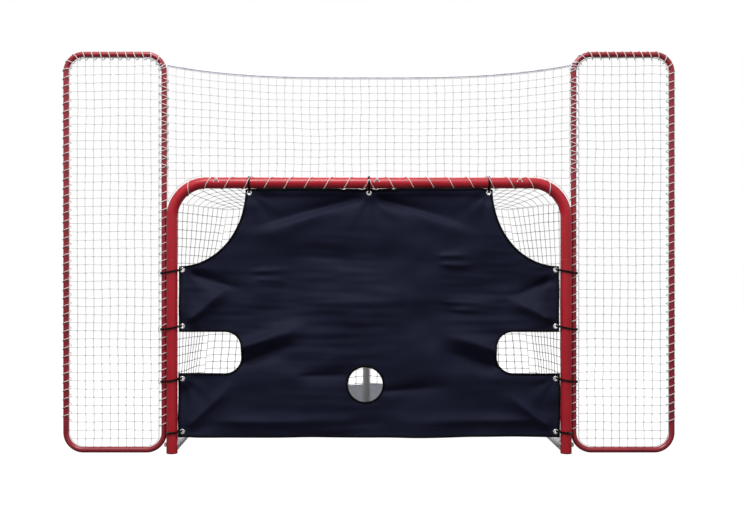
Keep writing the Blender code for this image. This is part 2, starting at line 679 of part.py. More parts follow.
def tie_places():
    """Each eyelet's name and place, and the side it ties to (0 for the crossbar)."""
    places = []
    for label, x in (("left", -TOP_TIE_X), ("middle", 0), ("right", TOP_TIE_X)):
        places.append((f"top_{label}", x, TARGET_TOP_Z - EYELET_EDGE, 0))
    for label, side in SIDES:
        for number, z in enumerate(SIDE_TIE_HEIGHTS, 1):
            places.append((f"{label}_{number}", side * (TARGET_HALF_WIDTH - EYELET_EDGE), z, side))
    return places


def target():
    """The sheet in the mouth, with its holes, and the eyelet rings in it."""
    sheet = add_mesh("target", prism(target_outline(), -TARGET_T / 2, TARGET_T / 2,
                     lambda u, v, w: Vector((u, GOAL_Y + w, v))), NAVY)
    holes = [(FIVE_HOLE_X, FIVE_HOLE_Z, FIVE_HOLE_R, FIVE_HOLE_SIDES)]
    holes += [(x, z, EYELET_R + GAP, EYELET_SIDES) for name, x, z, side in tie_places()]
    punch = bmesh.new()
    for x, z, radius, sides in holes:
        ends = [ring(punch, Vector((x, GOAL_Y + end, z)), Y_AXIS, Z_AXIS, radius, sides)
                for end in (-EYELET_T, EYELET_T)]
        bridge(punch, *ends)
        punch.faces.new(ends[0])
        punch.faces.new(ends[1])
    cut(sheet, add_mesh("target_punch", punch, GUIDE))
    for name, x, z, side in tie_places():
        path = [(Vector((x, GOAL_Y + end, z)), Y_AXIS) for end in (-EYELET_T / 2, EYELET_T / 2)]
        rim = plain_tube(path, EYELET_R, EYELET_R - EYELET_HOLE_R, Z_AXIS, EYELET_SIDES)
        add_mesh("eyelet_" + name, rim, STEEL)


def ties():
    """The elastic loops: through an eyelet, and round the crossbar, a post, or a post and its wing."""
    post_r = POST_R + TIE_GAP + TIE_D / 2
    wing_r = WING_R + TIE_GAP + TIE_D / 2
    turn_offset = TIE_TURN_R + TIE_PULL
    for name, x, z, side in tie_places():
        if side:
            bends = circle(x + side * turn_offset, GOAL_Y, TIE_TURN_R, LOOP_SAMPLES // 2)
            bends += circle(side * POST_X, GOAL_Y, post_r, LOOP_SAMPLES)
            if z > SIDE_TIE_HEIGHTS[0]:
                bends += circle(side * WING_X, WING_Y, wing_r, LOOP_SAMPLES)
            loop = [Vector((u, v, z)) for u, v in hull(bends)]
        else:
            bends = circle(GOAL_Y, z + turn_offset, TIE_TURN_R, LOOP_SAMPLES // 2)
            bends += circle(GOAL_Y, CROSSBAR_Z, post_r, LOOP_SAMPLES)
            loop = [Vector((x, u, v)) for u, v in hull(bends)]
        add_cord("tie_" + name, loop, TIE_D / 2, ELASTIC, closed=True)


def lacing():
    """The cord wound along the crossbar, mirrored at the middle, which steps over the three top ties."""
    near_r = POST_R + LACE_GAP + LACE_D / 2
    over_r = TIE_REACH + LACE_CROSSING_GAP + LACE_D / 2
    pitch = TOP_TIE_X / round(TOP_TIE_X / LACE_PITCH)
    count = 2 * round(LACE_HALF_LENGTH / pitch * LACE_STEPS)
    points = []
    for x in steps(-LACE_HALF_LENGTH, LACE_HALF_LENGTH, count):
        tie_x = min((0, TOP_TIE_X), key=lambda place: abs(abs(x) - place))
        away = abs(abs(x) - tie_x) - LACE_CROSSING_FLAT
        rise = 1 - min(max(away / (LACE_CROSSING_END - LACE_CROSSING_FLAT), 0), 1)
        radius = near_r + (over_r - near_r) * rise * rise * (3 - 2 * rise)
        angle = LACE_PHASE + 2 * math.pi * abs(x) / pitch
        points.append(Vector((x, GOAL_Y - radius * math.sin(angle), CROSSBAR_Z + radius * math.cos(angle))))
    add_cord("crossbar_lacing", points, LACE_D / 2, NETTING)
    apart = min((first - second).length for index, first in enumerate(points)
                for second in points[index + LACE_STEPS // 2:])
    print(f"crossbar lacing: least gap to itself {1000 * (apart - LACE_D):.1f} mm")


crossbar()
for label, side in SIDES:
    post(label, side)
    base_joint(label, side)
    wing(label, side)
    side_net(label, side)
base_rails()
back_bar()
backstop()
back_and_top_net()
skirt()
target()
ties()
lacing()
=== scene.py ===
"""Looks for the hockey goal: smooth tubes, knotted nets, lacing, a folded cloth target and its ties.

Units are metres and +Z is up. The shooter stands on the -Y side, with +X to the right.
"""

from math import asin, atan2, cos, exp, hypot, pi, radians, sin, sqrt, tan, tau

import bpy
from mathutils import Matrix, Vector, noise
from mathutils.geometry import convex_hull_2d, delaunay_2d_cdt
from mathutils.kdtree import KDTree


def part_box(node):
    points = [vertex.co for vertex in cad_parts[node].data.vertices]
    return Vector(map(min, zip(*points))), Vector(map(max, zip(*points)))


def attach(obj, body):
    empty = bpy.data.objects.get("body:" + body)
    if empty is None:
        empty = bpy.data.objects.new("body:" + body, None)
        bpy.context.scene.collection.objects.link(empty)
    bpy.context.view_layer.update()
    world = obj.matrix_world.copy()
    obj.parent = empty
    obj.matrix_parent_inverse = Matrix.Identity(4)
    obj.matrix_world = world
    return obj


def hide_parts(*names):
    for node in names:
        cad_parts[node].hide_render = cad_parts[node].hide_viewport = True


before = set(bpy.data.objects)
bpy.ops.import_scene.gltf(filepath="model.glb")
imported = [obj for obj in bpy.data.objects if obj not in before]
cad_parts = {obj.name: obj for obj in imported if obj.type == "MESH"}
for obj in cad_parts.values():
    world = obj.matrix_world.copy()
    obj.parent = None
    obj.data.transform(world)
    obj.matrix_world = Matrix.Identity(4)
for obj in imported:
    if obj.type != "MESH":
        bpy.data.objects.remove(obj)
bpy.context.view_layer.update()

X_AXIS = Vector((1, 0, 0))
Y_AXIS = Vector((0, 1, 0))
Z_AXIS = Vector((0, 0, 1))
SIDES = (("left", -1), ("right", 1))

# Picture: 744 x 524, goal line 4.9 m away
IMAGE_WIDTH = 744
FOCAL_PIXELS = 1079
SENSOR = 36
CAMERA_DISTANCE = 4.902
CAMERA_X = -0.090
CAMERA_Z = 0.924
AXIS_RIGHT = 22.8         # frame's middle, in pixels right of the optical axis
AXIS_BELOW = 12.0

# Light
FILL = 0.28
KEY_POWER = 262
REAR_POWER = 80
FLOOR_GREY = 0.22
FLOOR_GLOW = 0.943
KEY_PLACE = Vector((-0.6, -3.1, 5.4))
REAR_PLACE = Vector((0.8, 3.2, 3.6))
KEY_SIZE = 2.4
REAR_SIZE = 3.2

# Frame sizes, as in the part's source
GAP = 0.0003
POST_R = 0.0254
POST_X = 0.895
CROSSBAR_Z = 1.2286
CORNER_R = 0.158
LEG_LENGTH = 0.1906
BASE_R = 0.01905
BASE_DEPTH = 0.762
BASE_CORNER_R = 0.120
BACK_BAR_R = 0.016
BACK_BAR_DROP = 0.024
SHOULDER_DEPTH = 0.480
SHOULDER_DROP = 0.0636
SHOULDER_R = 0.090
TAB_SHOWS = 0.006
BOLT_Z = 0.040
BOLT_R = 0.004
BOLT_HEAD_R = 0.009
BOLT_HEAD_H = 0.0032
NUT_R = 0.010
NUT_H = 0.0085
BOLT_TAIL = 0.0015
WING_R = 0.0127
WING_WIDTH = 0.448
WING_TOP_Z = 1.816
WING_CORNER_R = 0.080
WING_JOINT_Z = 0.908
WING_SET_ANGLE = radians(29)
STRAND = 0.0036
LACE_D = 0.0035
LACE_GAP = 0.0010
LACE_PITCH = 0.090
LACE_PHASE = radians(60)
LACE_CROSSING_GAP = 0.0012
LACE_CROSSING_FLAT = 0.007
LACE_CROSSING_END = 0.016
ROPE_R = 0.0045
ROPE_DROP = 0.049
ROPE_SAG = 0.062
NET_ON_TIE = 0.0012
NET_OVER_BEND = 0.012
NET_OVER_BAR = 0.010
NET_DRAWN_IN = 0.191
NET_CORNER_DROP = 0.1086
NET_CORNER_LEAD = 0.030
NET_BEND_SHARE = 0.94
TOP_NET_ANGLE = radians(75)
WING_NET_CLEAR = 0.0032
SKIRT_T = 0.002
SKIRT_SHORT = 0.255
SKIRT_TOP_Z = 0.225
SKIRT_FOLD = 0.008
SKIRT_FOLD_LENGTH = 0.160
TARGET_T = 0.0012
TARGET_SIDE_GAP = 0.0076
TARGET_TOP_GAP = 0.0015
TARGET_BOTTOM_Z = 0.074
CUT_OUT_WIDTH = 0.301
CUT_OUT_HEIGHT = 0.347
SIDE_HOLE_WIDTH = 0.282
SIDE_HOLE_LOW_Z = 0.364
SIDE_HOLE_HIGH_Z = 0.552
SIDE_HOLE_R = 0.075
FIVE_HOLE_X = -0.017
FIVE_HOLE_Z = 0.313
FIVE_HOLE_R = 0.079
EYELET_RIM = 0.0052
EYELET_T = 0.003
EYELET_EDGE = 0.014
EYELET_CORNER = 0.017
EYELET_INSET = 0.025
TIE_D = 0.0055
TIE_GAP = 0.0005
TIE_PLAY = 0.00305
TIE_TURN_GAP = 0.00125
TIE_PULL = 0.0015

# Places that follow from them
TIE_REACH = POST_R + TIE_GAP + TIE_D
LACE_REACH = TIE_REACH + LACE_CROSSING_GAP + LACE_D
BORDER_R = TIE_REACH + NET_ON_TIE
SHOULDER_Z = CROSSBAR_Z - SHOULDER_DROP
RAIL_TOP_Z = 2 * BASE_R
NET_FOOT_Z = RAIL_TOP_Z + GAP + STRAND / 2
BAR_RUN = Vector((0, BASE_DEPTH - SHOULDER_DEPTH, RAIL_TOP_Z - SHOULDER_Z)).normalized()
SKIRT_FROM_NET = STRAND / 2 + 0.0005 + SKIRT_T / 2
BACK_NET_OFFSET = BACK_BAR_R / -BAR_RUN.z + 0.0005 + SKIRT_T / 2 + SKIRT_FROM_NET
GOAL_Y = (LACE_REACH - BASE_DEPTH - BACK_NET_OFFSET - STRAND / 2) / 2
REAR_Y = GOAL_Y + BASE_DEPTH
LEG_X = POST_X - CORNER_R
LEG_TOP_Z = CROSSBAR_Z - CORNER_R
POST_JOINT_Z = LEG_TOP_Z - LEG_LENGTH
WING_STEP = POST_R + 2 * TIE_GAP + TIE_D + WING_R
WING_X = POST_X + WING_STEP * cos(WING_SET_ANGLE)
WING_Y = GOAL_Y + WING_STEP * sin(WING_SET_ANGLE)
WING_NET_INSET = WING_R + TIE_GAP + TIE_D + WING_NET_CLEAR + STRAND / 2
ROPE_Z = WING_TOP_Z - ROPE_DROP - ROPE_SAG
NET_CORNER = Vector((POST_X - NET_DRAWN_IN, GOAL_Y + SHOULDER_DEPTH - NET_CORNER_LEAD,
                     CROSSBAR_Z - NET_CORNER_DROP))
LEFT_CORNER = Vector((-NET_CORNER.x, NET_CORNER.y, NET_CORNER.z))
SIDE_NET_FRONT_Y = GOAL_Y + BORDER_R + STRAND
SKIRT_HALF_WIDTH = POST_X - SKIRT_SHORT
TARGET_HALF_WIDTH = POST_X - POST_R - TARGET_SIDE_GAP
TARGET_TOP_HALF = TARGET_HALF_WIDTH - CUT_OUT_WIDTH
TARGET_TOP_Z = CROSSBAR_Z - POST_R - LACE_GAP - LACE_D - TARGET_TOP_GAP
TARGET_CORNER_Z = TARGET_TOP_Z - CUT_OUT_HEIGHT
SIDE_HOLE_X = TARGET_HALF_WIDTH - SIDE_HOLE_WIDTH
EYELET_HOLE_R = TIE_D / 2 + TIE_PLAY
EYELET_R = EYELET_HOLE_R + EYELET_RIM
TIE_TURN_R = EYELET_T / 2 + TIE_TURN_GAP + TIE_D / 2
TOP_TIE_X = TARGET_TOP_HALF - EYELET_CORNER
SIDE_TIE_HEIGHTS = (TARGET_BOTTOM_Z + EYELET_INSET, SIDE_HOLE_LOW_Z - EYELET_INSET,
                    SIDE_HOLE_HIGH_Z + EYELET_INSET, TARGET_CORNER_Z - EYELET_CORNER)

# Detail that only the looks have
MESH = 0.038              # netting, knot to knot
BACKSTOP_MESH = 0.0336
TWINE_R = 0.0015
BORDER_SHARE = 1.3        # a border cord's thickness, in strands
SEAM_SHARE = 0.75         # the same, where two panels of the goal's net meet
KNOT = Vector((0.0046, 0.0036, 0.0034))
NET_WANDER = 0.0045       # size of a knot's stray: a slow drift, with a quick shake on top
NET_DRIFT_RATE = 5.5
NET_SHAKE_RATE = 31
NET_SHAKE_SHARE = 0.35
NET_SEED = 1              # makes the stray the same in each run
SIDE_COLUMNS = 11
NET_COLUMNS = 45
BACK_ROWS = 30
TOP_ROWS = 9
BACK_NET_SAG = 0.022
NET_BOW_FORWARD = 0.17    # how far the net's rear corners are drawn forward of a straight line
NET_BOW_INWARD = 0.020
SKIRT_SLACK = 0.005       # the skirt's top hangs this far inside the net
SKIRT_SAG = 0.004
SKIRT_RIPPLE = 0.0016
WING_LACE_R = 0.0018
WING_LACE_PITCH = 0.0385
WING_LACE_OUTER_Z = 0.143
WING_LACE_INNER_Z = 0.110
LACE_PAST_TIE = 0.010     # the wing's lacing runs straight past a tie
BIND_WIDTH = 0.011
BIND_T = 0.0005
CLOTH_GRID = 0.0075
TOP_EDGE_RISE = 0.0066    # the most that the cloth's top edge rises against the crossbar
LACE_CLEAR_R = POST_R + LACE_D + 0.0009
BAR_CLEAR_R = POST_R + 0.0008
LOWER_EDGE_OUT = 0.0062   # the cloth's lower corners lie close to the posts
HEM = 0.040
HEM_LEAN = 0.016          # how far the top hem leans out under the crossbar
RIPPLE_DEPTH = 0.0050     # fine creases, in patches
CREASE_SHARE = 1.9
CREASE_WIDTH = 1.25
FAN_REACH = 0.075
FAN_DEPTH = 0.0022
TIE_SLOPE = 0.19          # side ties fall this much towards the wings
TIE_STRAND_R = 0.0023     # a tie is a doubled cord
TIE_STRAND_STEP = 0.0024
ROPE_END_RISE = 0.004
ROPE_MIDDLE_RISE = 0.006
ROPE_END_X = WING_X - WING_R - 0.001
LASHING_R = 0.0019
BALL_R = 0.0070
BALL_SEAT = 0.0042        # from the middle of a tie's cord to its ball's
BALL_SIDE_ANGLE = radians(-62)
BALL_TOP_ANGLE = radians(50)
LACE_ROUND_BEND = radians(47)
LACE_KNOT_R = POST_R + 0.0042
LACE_KNOTS_X = (0.035, -0.692, 0.681)
EYELET_FLANGE = 0.0012    # the rolled rim, past the solid's edge
PLUG_ROUNDING = ((0, 0.0022), (0.0004, 0.0010), (0.0012, 0.0001), (0.0022, 0))
PLUG_STEP = 0.003
NUT_CHAMFER = 0.0011
THREAD_DEPTH = 0.0004
BAR_IN_RAIL = 0.004       # the back bar's foot, past the rail's surface
WELD_R = 0.0024
WELD_PROUD = 0.0008
WELD_POINTS = 48
BASE_LACE_R = 0.0016
BASE_LACE_PITCH = 0.060
BASE_LACE_START = 0.03
BASE_LACE_AWAY = 0.0020
BASE_LACE_LOBE = 0.005
BASE_LACE_LOW_Z = 0.0017
WING_LACE_LOBE = 0.0105
BACKSTOP_LACE_RISE = 0.045
BACKSTOP_LACE_DROP = 0.030
LASHING_START = 0.010     # distances along the wing's bend
LASHING_END = 0.040
LASHING_TURNS = 2.5
HOOK_HEIGHTS = (0.16, 0.26, 0.42, 0.50, 0.66, 0.74, 0.92, 1.02)
HOOK_R = 0.0042
HOOK_WIRE_R = 0.0013
SKIRT_COLUMNS = 260
SKIRT_ROWS = 22
SKIRT_CLOTH_T = 0.0010
SKIRT_SEAM_R = 0.0008
STITCH_R = 0.00045
STITCH_PITCH = 0.0062
FLOOR_REACH = 40
FLOOR_DROP = 0.0006


def linear(red, green, blue):
    """A colour written in 0 to 255 steps, as the linear colour a shader takes."""
    def channel(value):
        share = value / 255
        return share / 12.92 if share <= 0.04045 else ((share + 0.055) / 1.055) ** 2.4
    return (channel(red), channel(green), channel(blue), 1)


def add_node(tree, kind, **settings):
    """A shader node, with its sockets and settings given by name."""
    node = tree.nodes.new(kind)
    for key, value in settings.items():
        socket = key.replace("_", " ").title()
        if socket in node.inputs:
            node.inputs[socket].default_value = value
        else:
            setattr(node, key, value)
    return node


class Finish:
    """A material on a principled shader, with helpers for its nodes."""

    def __init__(self, name, roughness, metallic=0.0, specular=0.5):
        self.material = bpy.data.materials.new(name)
        self.material.use_nodes = True
        self.tree = self.material.node_tree
        self.shader = self.tree.nodes["Principled BSDF"]
        self.set(roughness=roughness, metallic=metallic)
        self.shader.inputs["Specular IOR Level"].default_value = specular
        self.place = self.add("ShaderNodeTexCoord").outputs["Object"]
        self.relief = None

    def add(self, kind, **settings):
        return add_node(self.tree, kind, **settings)

    def join(self, source, target):
        self.tree.links.new(source, target)

    def noise(self, scale, detail, stretch=None):
        """Fractal noise, drawn out along an axis where stretch says so."""
        node = self.add("ShaderNodeTexNoise", scale=scale, detail=detail)
        place = self.place
        if stretch:
            mapping = self.add("ShaderNodeMapping", scale=stretch)
            self.join(place, mapping.inputs["Vector"])
            place = mapping.outputs["Vector"]
        self.join(place, node.inputs["Vector"])
        return node.outputs["Fac"]

    def wave(self, scale, direction, distortion):
        """Parallel ribs across one axis."""
        node = self.add("ShaderNodeTexWave", wave_type="BANDS", bands_direction=direction,
                        scale=scale, distortion=distortion)
        self.join(self.place, node.inputs["Vector"])
        return node.outputs["Fac"]

    def product(self, first, second):
        node = self.add("ShaderNodeMath", operation="MULTIPLY")
        self.join(first, node.inputs[0])
        self.join(second, node.inputs[1])
        return node.outputs[0]

    def ramp(self, fac, *stops):
        """A colour ramp: (place, colour) stops."""
        node = self.add("ShaderNodeValToRGB")
        elements = node.color_ramp.elements
        while len(elements) < len(stops):
            elements.new(0.5)
        for element, (place, colour) in zip(elements, stops):
            element.position = place
            element.color = colour
        self.join(fac, node.inputs["Fac"])
        return node.outputs["Color"]

    def blend(self, fac, tone, colour):
        """From a varied tone to one plain colour."""
        node = self.add("ShaderNodeMix", data_type="RGBA")
        self.join(fac, node.inputs[0])
        self.join(tone, node.inputs[6])
        node.inputs[7].default_value = colour
        return node.outputs[2]

    def spread(self, fac, low, high):
        node = self.add("ShaderNodeMapRange", to_min=low, to_max=high)
        self.join(fac, node.inputs["Value"])
        return node.outputs["Result"]

    def colour(self, socket):
        self.join(socket, self.shader.inputs["Base Color"])

    def roughness(self, socket):
        self.join(socket, self.shader.inputs["Roughness"])

    def bump(self, height, distance, strength):
        """Relief on top of what is there already."""
        node = self.add("ShaderNodeBump", distance=distance, strength=strength)
        self.join(height, node.inputs["Height"])
        if self.relief:
            self.join(self.relief, node.inputs["Normal"])
        self.relief = node.outputs["Normal"]
        self.join(self.relief, self.shader.inputs["Normal"])

    def set(self, **values):
        for key, value in values.items():
            self.shader.inputs[key.replace("_", " ").title()].default_value = value


def steel_paint(name, light, dark, scuff, specular=0.42, coat=0.10):
    """Baked enamel on steel tube: orange peel, uneven tone and a few rubbed places."""
    made = Finish(name, 0.34, specular=specular)
    tone = made.ramp(made.noise(7, 4), (0.30, dark), (0.72, light))
    rubbed = made.ramp(made.noise(38, 6, (1, 1, 0.35)), (0.70, (0, 0, 0, 1)), (0.78, (1, 1, 1, 1)))
    made.colour(made.blend(rubbed, tone, scuff))
    made.roughness(made.spread(made.noise(24, 4), 0.26, 0.46))
    made.bump(made.noise(420, 2), 0.00025, 0.35)
    made.set(coat_weight=coat, coat_roughness=0.2)
    return made.material


def zinc_steel():
    """Zinc plate, with its mottled bloom."""
    made = Finish("zinc_steel", 0.34, metallic=1.0)
    made.colour(made.ramp(made.noise(160, 5), (0.3, linear(168, 170, 172)), (0.7, linear(222, 223, 224))))
    made.roughness(made.spread(made.noise(90, 4), 0.24, 0.44))
    made.bump(made.noise(900, 2), 0.0001, 0.4)
    return made.material


def nickel():
    """Bright rolled nickel for the eyelets."""
    made = Finish("nickel", 0.2, metallic=1.0)
    made.colour(made.ramp(made.noise(300, 3), (0.3, linear(206, 206, 207)), (0.7, linear(238, 238, 237))))
    made.roughness(made.spread(made.noise(400, 4), 0.16, 0.30))
    return made.material


def moulded_plastic(name, light, dark):
    made = Finish(name, 0.5, specular=0.4)
    made.colour(made.ramp(made.noise(40, 4), (0.35, dark), (0.7, light)))
    made.roughness(made.spread(made.noise(150, 3), 0.42, 0.62))
    made.bump(made.noise(1400, 2), 0.0001, 0.5)
    return made.material


def twine(name, light, dark, through=0.5, fibre=1500):
    """Laid cord: fine fibres and a little dirt."""
    made = Finish(name, 0.7, specular=0.25)
    made.colour(made.ramp(made.noise(22, 5), (0.32, dark), (0.62, light)))
    made.roughness(made.spread(made.noise(fibre / 2, 2), 0.6, 0.82))
    made.bump(made.noise(fibre, 2), 0.0003, 0.6)
    made.set(sheen_weight=0.15, sheen_roughness=0.5, subsurface_weight=through, subsurface_radius=(1, 1, 1),
             subsurface_scale=0.003)
    return made.material


def woven(name, light, dark, threads, sheen, specular, rough, through=0.0):
    """Plain-woven cloth: crossing threads, uneven dye and painted shade in the gaps between the threads."""
    made = Finish(name, 0.72, specular=specular)
    patches = made.noise(5, 5)
    warp = made.wave(threads, "X", distortion=0.3)
    weft = made.wave(threads, "Z", distortion=0.3)
    weave = made.product(warp, weft)
    tone = made.ramp(patches, (0.30, dark), (0.70, light))
    # painted shade: the cloth is darker where the threads dip, in the gaps between them
    thread_gap_shade = tuple(0.62 * part for part in dark[:3]) + (1,)
    made.colour(made.blend(made.spread(weave, 0.45, 0.0), tone, thread_gap_shade))
    made.roughness(made.spread(made.noise(60, 4), *rough))
    made.bump(weave, 0.0004, 0.5)
    made.bump(made.noise(45, 4), 0.0012, 0.35)
    made.set(sheen_weight=sheen, sheen_roughness=0.4, subsurface_weight=through,
             subsurface_radius=(1, 1, 1), subsurface_scale=0.01)
    return made.material


def ribbed(name, light, dark, ribs, specular):
    """Narrow woven tape or braided elastic, with ribs along its length."""
    made = Finish(name, 0.7, specular=specular)
    along = made.add("ShaderNodeTexCoord").outputs["UV"]
    braid = made.add("ShaderNodeTexChecker", scale=ribs)
    made.join(along, braid.inputs["Vector"])
    made.colour(made.ramp(made.noise(30, 5), (0.3, dark), (0.7, light)))
    made.roughness(made.spread(made.noise(500, 3), 0.58, 0.85))
    made.bump(braid.outputs["Fac"], 0.0003, 0.5)
    made.bump(made.noise(1800, 2), 0.0002, 0.5)
    return made.material


RED = steel_paint("red_paint", linear(197, 30, 47), linear(179, 22, 38), linear(200, 54, 65))
# The same red paint as the frame, made darker on the wings' hoops: painted shade
SHADED_WING_RED = steel_paint("wing_red_paint_shaded", linear(164, 24, 42), linear(143, 16, 33), linear(178, 48, 60),
                       specular=0.55, coat=0.22)
WHITE = steel_paint("white_paint", linear(248, 248, 250), linear(238, 239, 242), linear(212, 213, 217))
STEEL = zinc_steel()
# A pale, matt stand-in for the zinc of the flat bars: painted light, lighter than the metal, to brighten
# them in the cloth's shade
LIGHTENED_ZINC = moulded_plastic("zinc_lightened_for_shade", linear(240, 241, 243), linear(226, 227, 229))
NICKEL = nickel()
PLASTIC = moulded_plastic("black_plastic", linear(30, 30, 32), linear(20, 20, 22))
NETTING = twine("white_netting", linear(247, 247, 246), linear(231, 232, 233))
LACE = twine("lace_cord", linear(246, 244, 242), linear(228, 226, 226))
ROPE = twine("pale_rope", linear(240, 242, 252), linear(222, 225, 240))
NAVY = woven("navy_cloth", linear(40, 42, 63), linear(32, 34, 53), 500, 0.0, 0.05, (0.40, 0.58))
GREY = woven("grey_cloth", linear(220, 226, 250), linear(206, 212, 238), 420, 0.2, 0.22, (0.60, 0.84), 0.6)
TAPE = ribbed("black_tape", linear(17, 17, 22), linear(10, 10, 14), 240, 0.04)
ELASTIC = ribbed("black_elastic", linear(34, 26, 26), linear(20, 16, 17), 90, 0.08)
THREAD = twine("dark_thread", linear(38, 40, 54), linear(28, 30, 42), 0.0)


def keep(piece, body, slot, *nodes):
    """Puts a piece on its body and hides the solids it stands for; slot is not used."""
    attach(piece, body)
    if nodes:
        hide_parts(*nodes)
    return piece


def add_object(name, data, material):
    made = bpy.data.objects.new(name, data)
    bpy.context.scene.collection.objects.link(made)
    data.materials.append(material)
    return made


def add_mesh(name, points, faces, material, smooth=True):
    data = bpy.data.meshes.new(name)
    data.from_pydata([tuple(point) for point in points], [], faces)
    data.validate()
    data.polygons.foreach_set("use_smooth", [smooth] * len(data.polygons))
    return add_object(name, data, material)


def add_strands(name, lines, radius, material, sides=6, closed=False, shares=None):
    """One curve object of round cords through lists of points. shares scale each line's points."""
    data = bpy.data.curves.new(name, "CURVE")
    data.dimensions = "3D"
    data.bevel_depth = radius
    data.bevel_resolution = (sides - 4) // 2
    data.use_fill_caps = not closed
    for index, line in enumerate(lines):
        spline = data.splines.new("POLY")
        spline.points.add(len(line) - 1)
        spline.points.foreach_set("co", [part for point in line for part in (*point, 1)])
        spline.use_cyclic_u = closed
        spline.use_smooth = True
        if shares:
            spline.points.foreach_set("radius", shares[index])
    return add_object(name, data, material)


def steps(low, high, count):
    return [low + (high - low) * index / count for index in range(count + 1)]


def angles(count):
    """Evenly spaced angles, once round."""
    return [tau * index / count for index in range(count)]


def ring_faces(rings, sides, start=0):
    """Faces that join each ring of points to the next one."""
    faces = []
    for low in range(start, start + (rings - 1) * sides, sides):
        for index in range(sides):
            after = (index + 1) % sides
            faces.append((low + index, low + after, low + sides + after, low + sides + index))
    return faces


def grid_faces(rows, columns):
    """Faces of a sheet of points, row by row."""
    wide = columns + 1
    corners = [row * wide + column for row in range(rows) for column in range(columns)]
    return [(low, low + 1, low + 1 + wide, low + wide) for low in corners]


def thicken(sheet, thickness):
    """Gives a sheet its thickness, half to each side."""
    thick = sheet.modifiers.new("thickness", "SOLIDIFY")
    thick.thickness = thickness
    thick.offset = 0


def ease(share):
    share = min(max(share, 0), 1)
    return share * share * (3 - 2 * share)


def rounded_path(corners, radius, count=18):
    """Points along a line whose inner corners are bent to a radius."""
    path = [corners[0]]
    for before, corner, after in zip(corners, corners[1:], corners[2:]):
        out, on = (before - corner).normalized(), (after - corner).normalized()
        half = out.angle(on) / 2
        middle = corner + (out + on).normalized() * (radius / sin(half))
        start = corner + out * (radius / tan(half)) - middle
        end = corner + on * (radius / tan(half)) - middle
        sweep = start.angle(end)
        for part in steps(0, 1, count):
            path.append(middle + (start * sin((1 - part) * sweep)
                                  + end * sin(part * sweep)) / sin(sweep))
    return path + [corners[-1]]


class Route:
    """A line of points that can be asked for a place at any distance along it."""

    def __init__(self, points):
        self.points = points
        self.marks = [0.0]
        for first, second in zip(points, points[1:]):
            self.marks.append(self.marks[-1] + (second - first).length)
        self.length = self.marks[-1]

    def at(self, distance):
        """The point at a distance, and the direction there."""
        distance = min(max(distance, 0), self.length)
        low, high = 0, len(self.marks) - 2
        while low < high:
            middle = (low + high + 1) // 2
            if self.marks[middle] <= distance:
                low = middle
            else:
                high = middle - 1
        span = self.marks[low + 1] - self.marks[low]
        first, second = self.points[low], self.points[low + 1]
        return first.lerp(second, (distance - self.marks[low]) / span), (second - first).normalized()


def add_tube(name, path, radius, material, lip=0.0007, sides=32):
    """A smooth tube with its cut ends broken, so that a joint shows as a fine groove."""
    route = Route(path)
    ends = [lip, 2 * lip, route.length - 2 * lip, route.length - lip]
    inner = [point for point, mark in zip(path, route.marks) if 3 * lip < mark < route.length - 3 * lip]
    near = [route.at(mark)[0] for mark in ends]
    line = [path[0]] + near[:2] + inner + near[2:] + [path[-1]]
    shares = [1 - lip / radius] + [1] * (len(line) - 2) + [1 - lip / radius]
    return add_strands(name, [line], radius, material, sides, shares=[shares])


def add_turned(name, origin, axis, side, profile, material, sides=32, smooth=True):
    """A body turned about an axis: profile is (distance along it, radius)."""
    across = axis.cross(side)
    points = []
    for along, radius in profile:
        for angle in angles(sides):
            points.append(origin + axis * along
                          + (side * cos(angle) + across * sin(angle)) * max(radius, 1e-5))
    return add_mesh(name, points, ring_faces(len(profile), sides), material, smooth)


def goal_frame():
    """The red crossbar and posts with their foot plugs, and the bolts through the posts."""
    corners = [Vector((-POST_X, GOAL_Y, POST_JOINT_Z + GAP)), Vector((-POST_X, GOAL_Y, CROSSBAR_Z)),
               Vector((POST_X, GOAL_Y, CROSSBAR_Z)), Vector((POST_X, GOAL_Y, POST_JOINT_Z + GAP))]
    bar = add_tube("crossbar_tube", rounded_path(corners, CORNER_R, 24), POST_R, RED, sides=40)
    keep(bar, "goal", "red_paint", "crossbar")
    for label, side in SIDES:
        foot = Vector((side * POST_X, GOAL_Y, 0))
        plug_low, plug_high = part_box(label + "_foot_plug")
        plug_r = (plug_high.x - plug_low.x) / 2
        post_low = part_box(label + "_post")[0].z
        line = [foot + Z_AXIS * z for z in (post_low, 0.3, 0.6, POST_JOINT_Z)]
        post = add_tube(label + "_post_tube", line, POST_R, RED, sides=40)
        keep(post, "goal", "red_paint", label + "_post")
        profile = [(0, 0)] + [(z, plug_r - less) for z, less in PLUG_ROUNDING]
        profile += [(post_low - 0.0001, plug_r), (post_low, plug_r - PLUG_STEP),
                    (plug_high.z, plug_r - PLUG_STEP), (plug_high.z, 0)]
        plug = add_turned(label + "_foot_cap", foot, Z_AXIS, X_AXIS, profile, PLASTIC, 40)
        keep(plug, "goal", "black_plastic", label + "_foot_plug")
        base_fasteners(label, side)


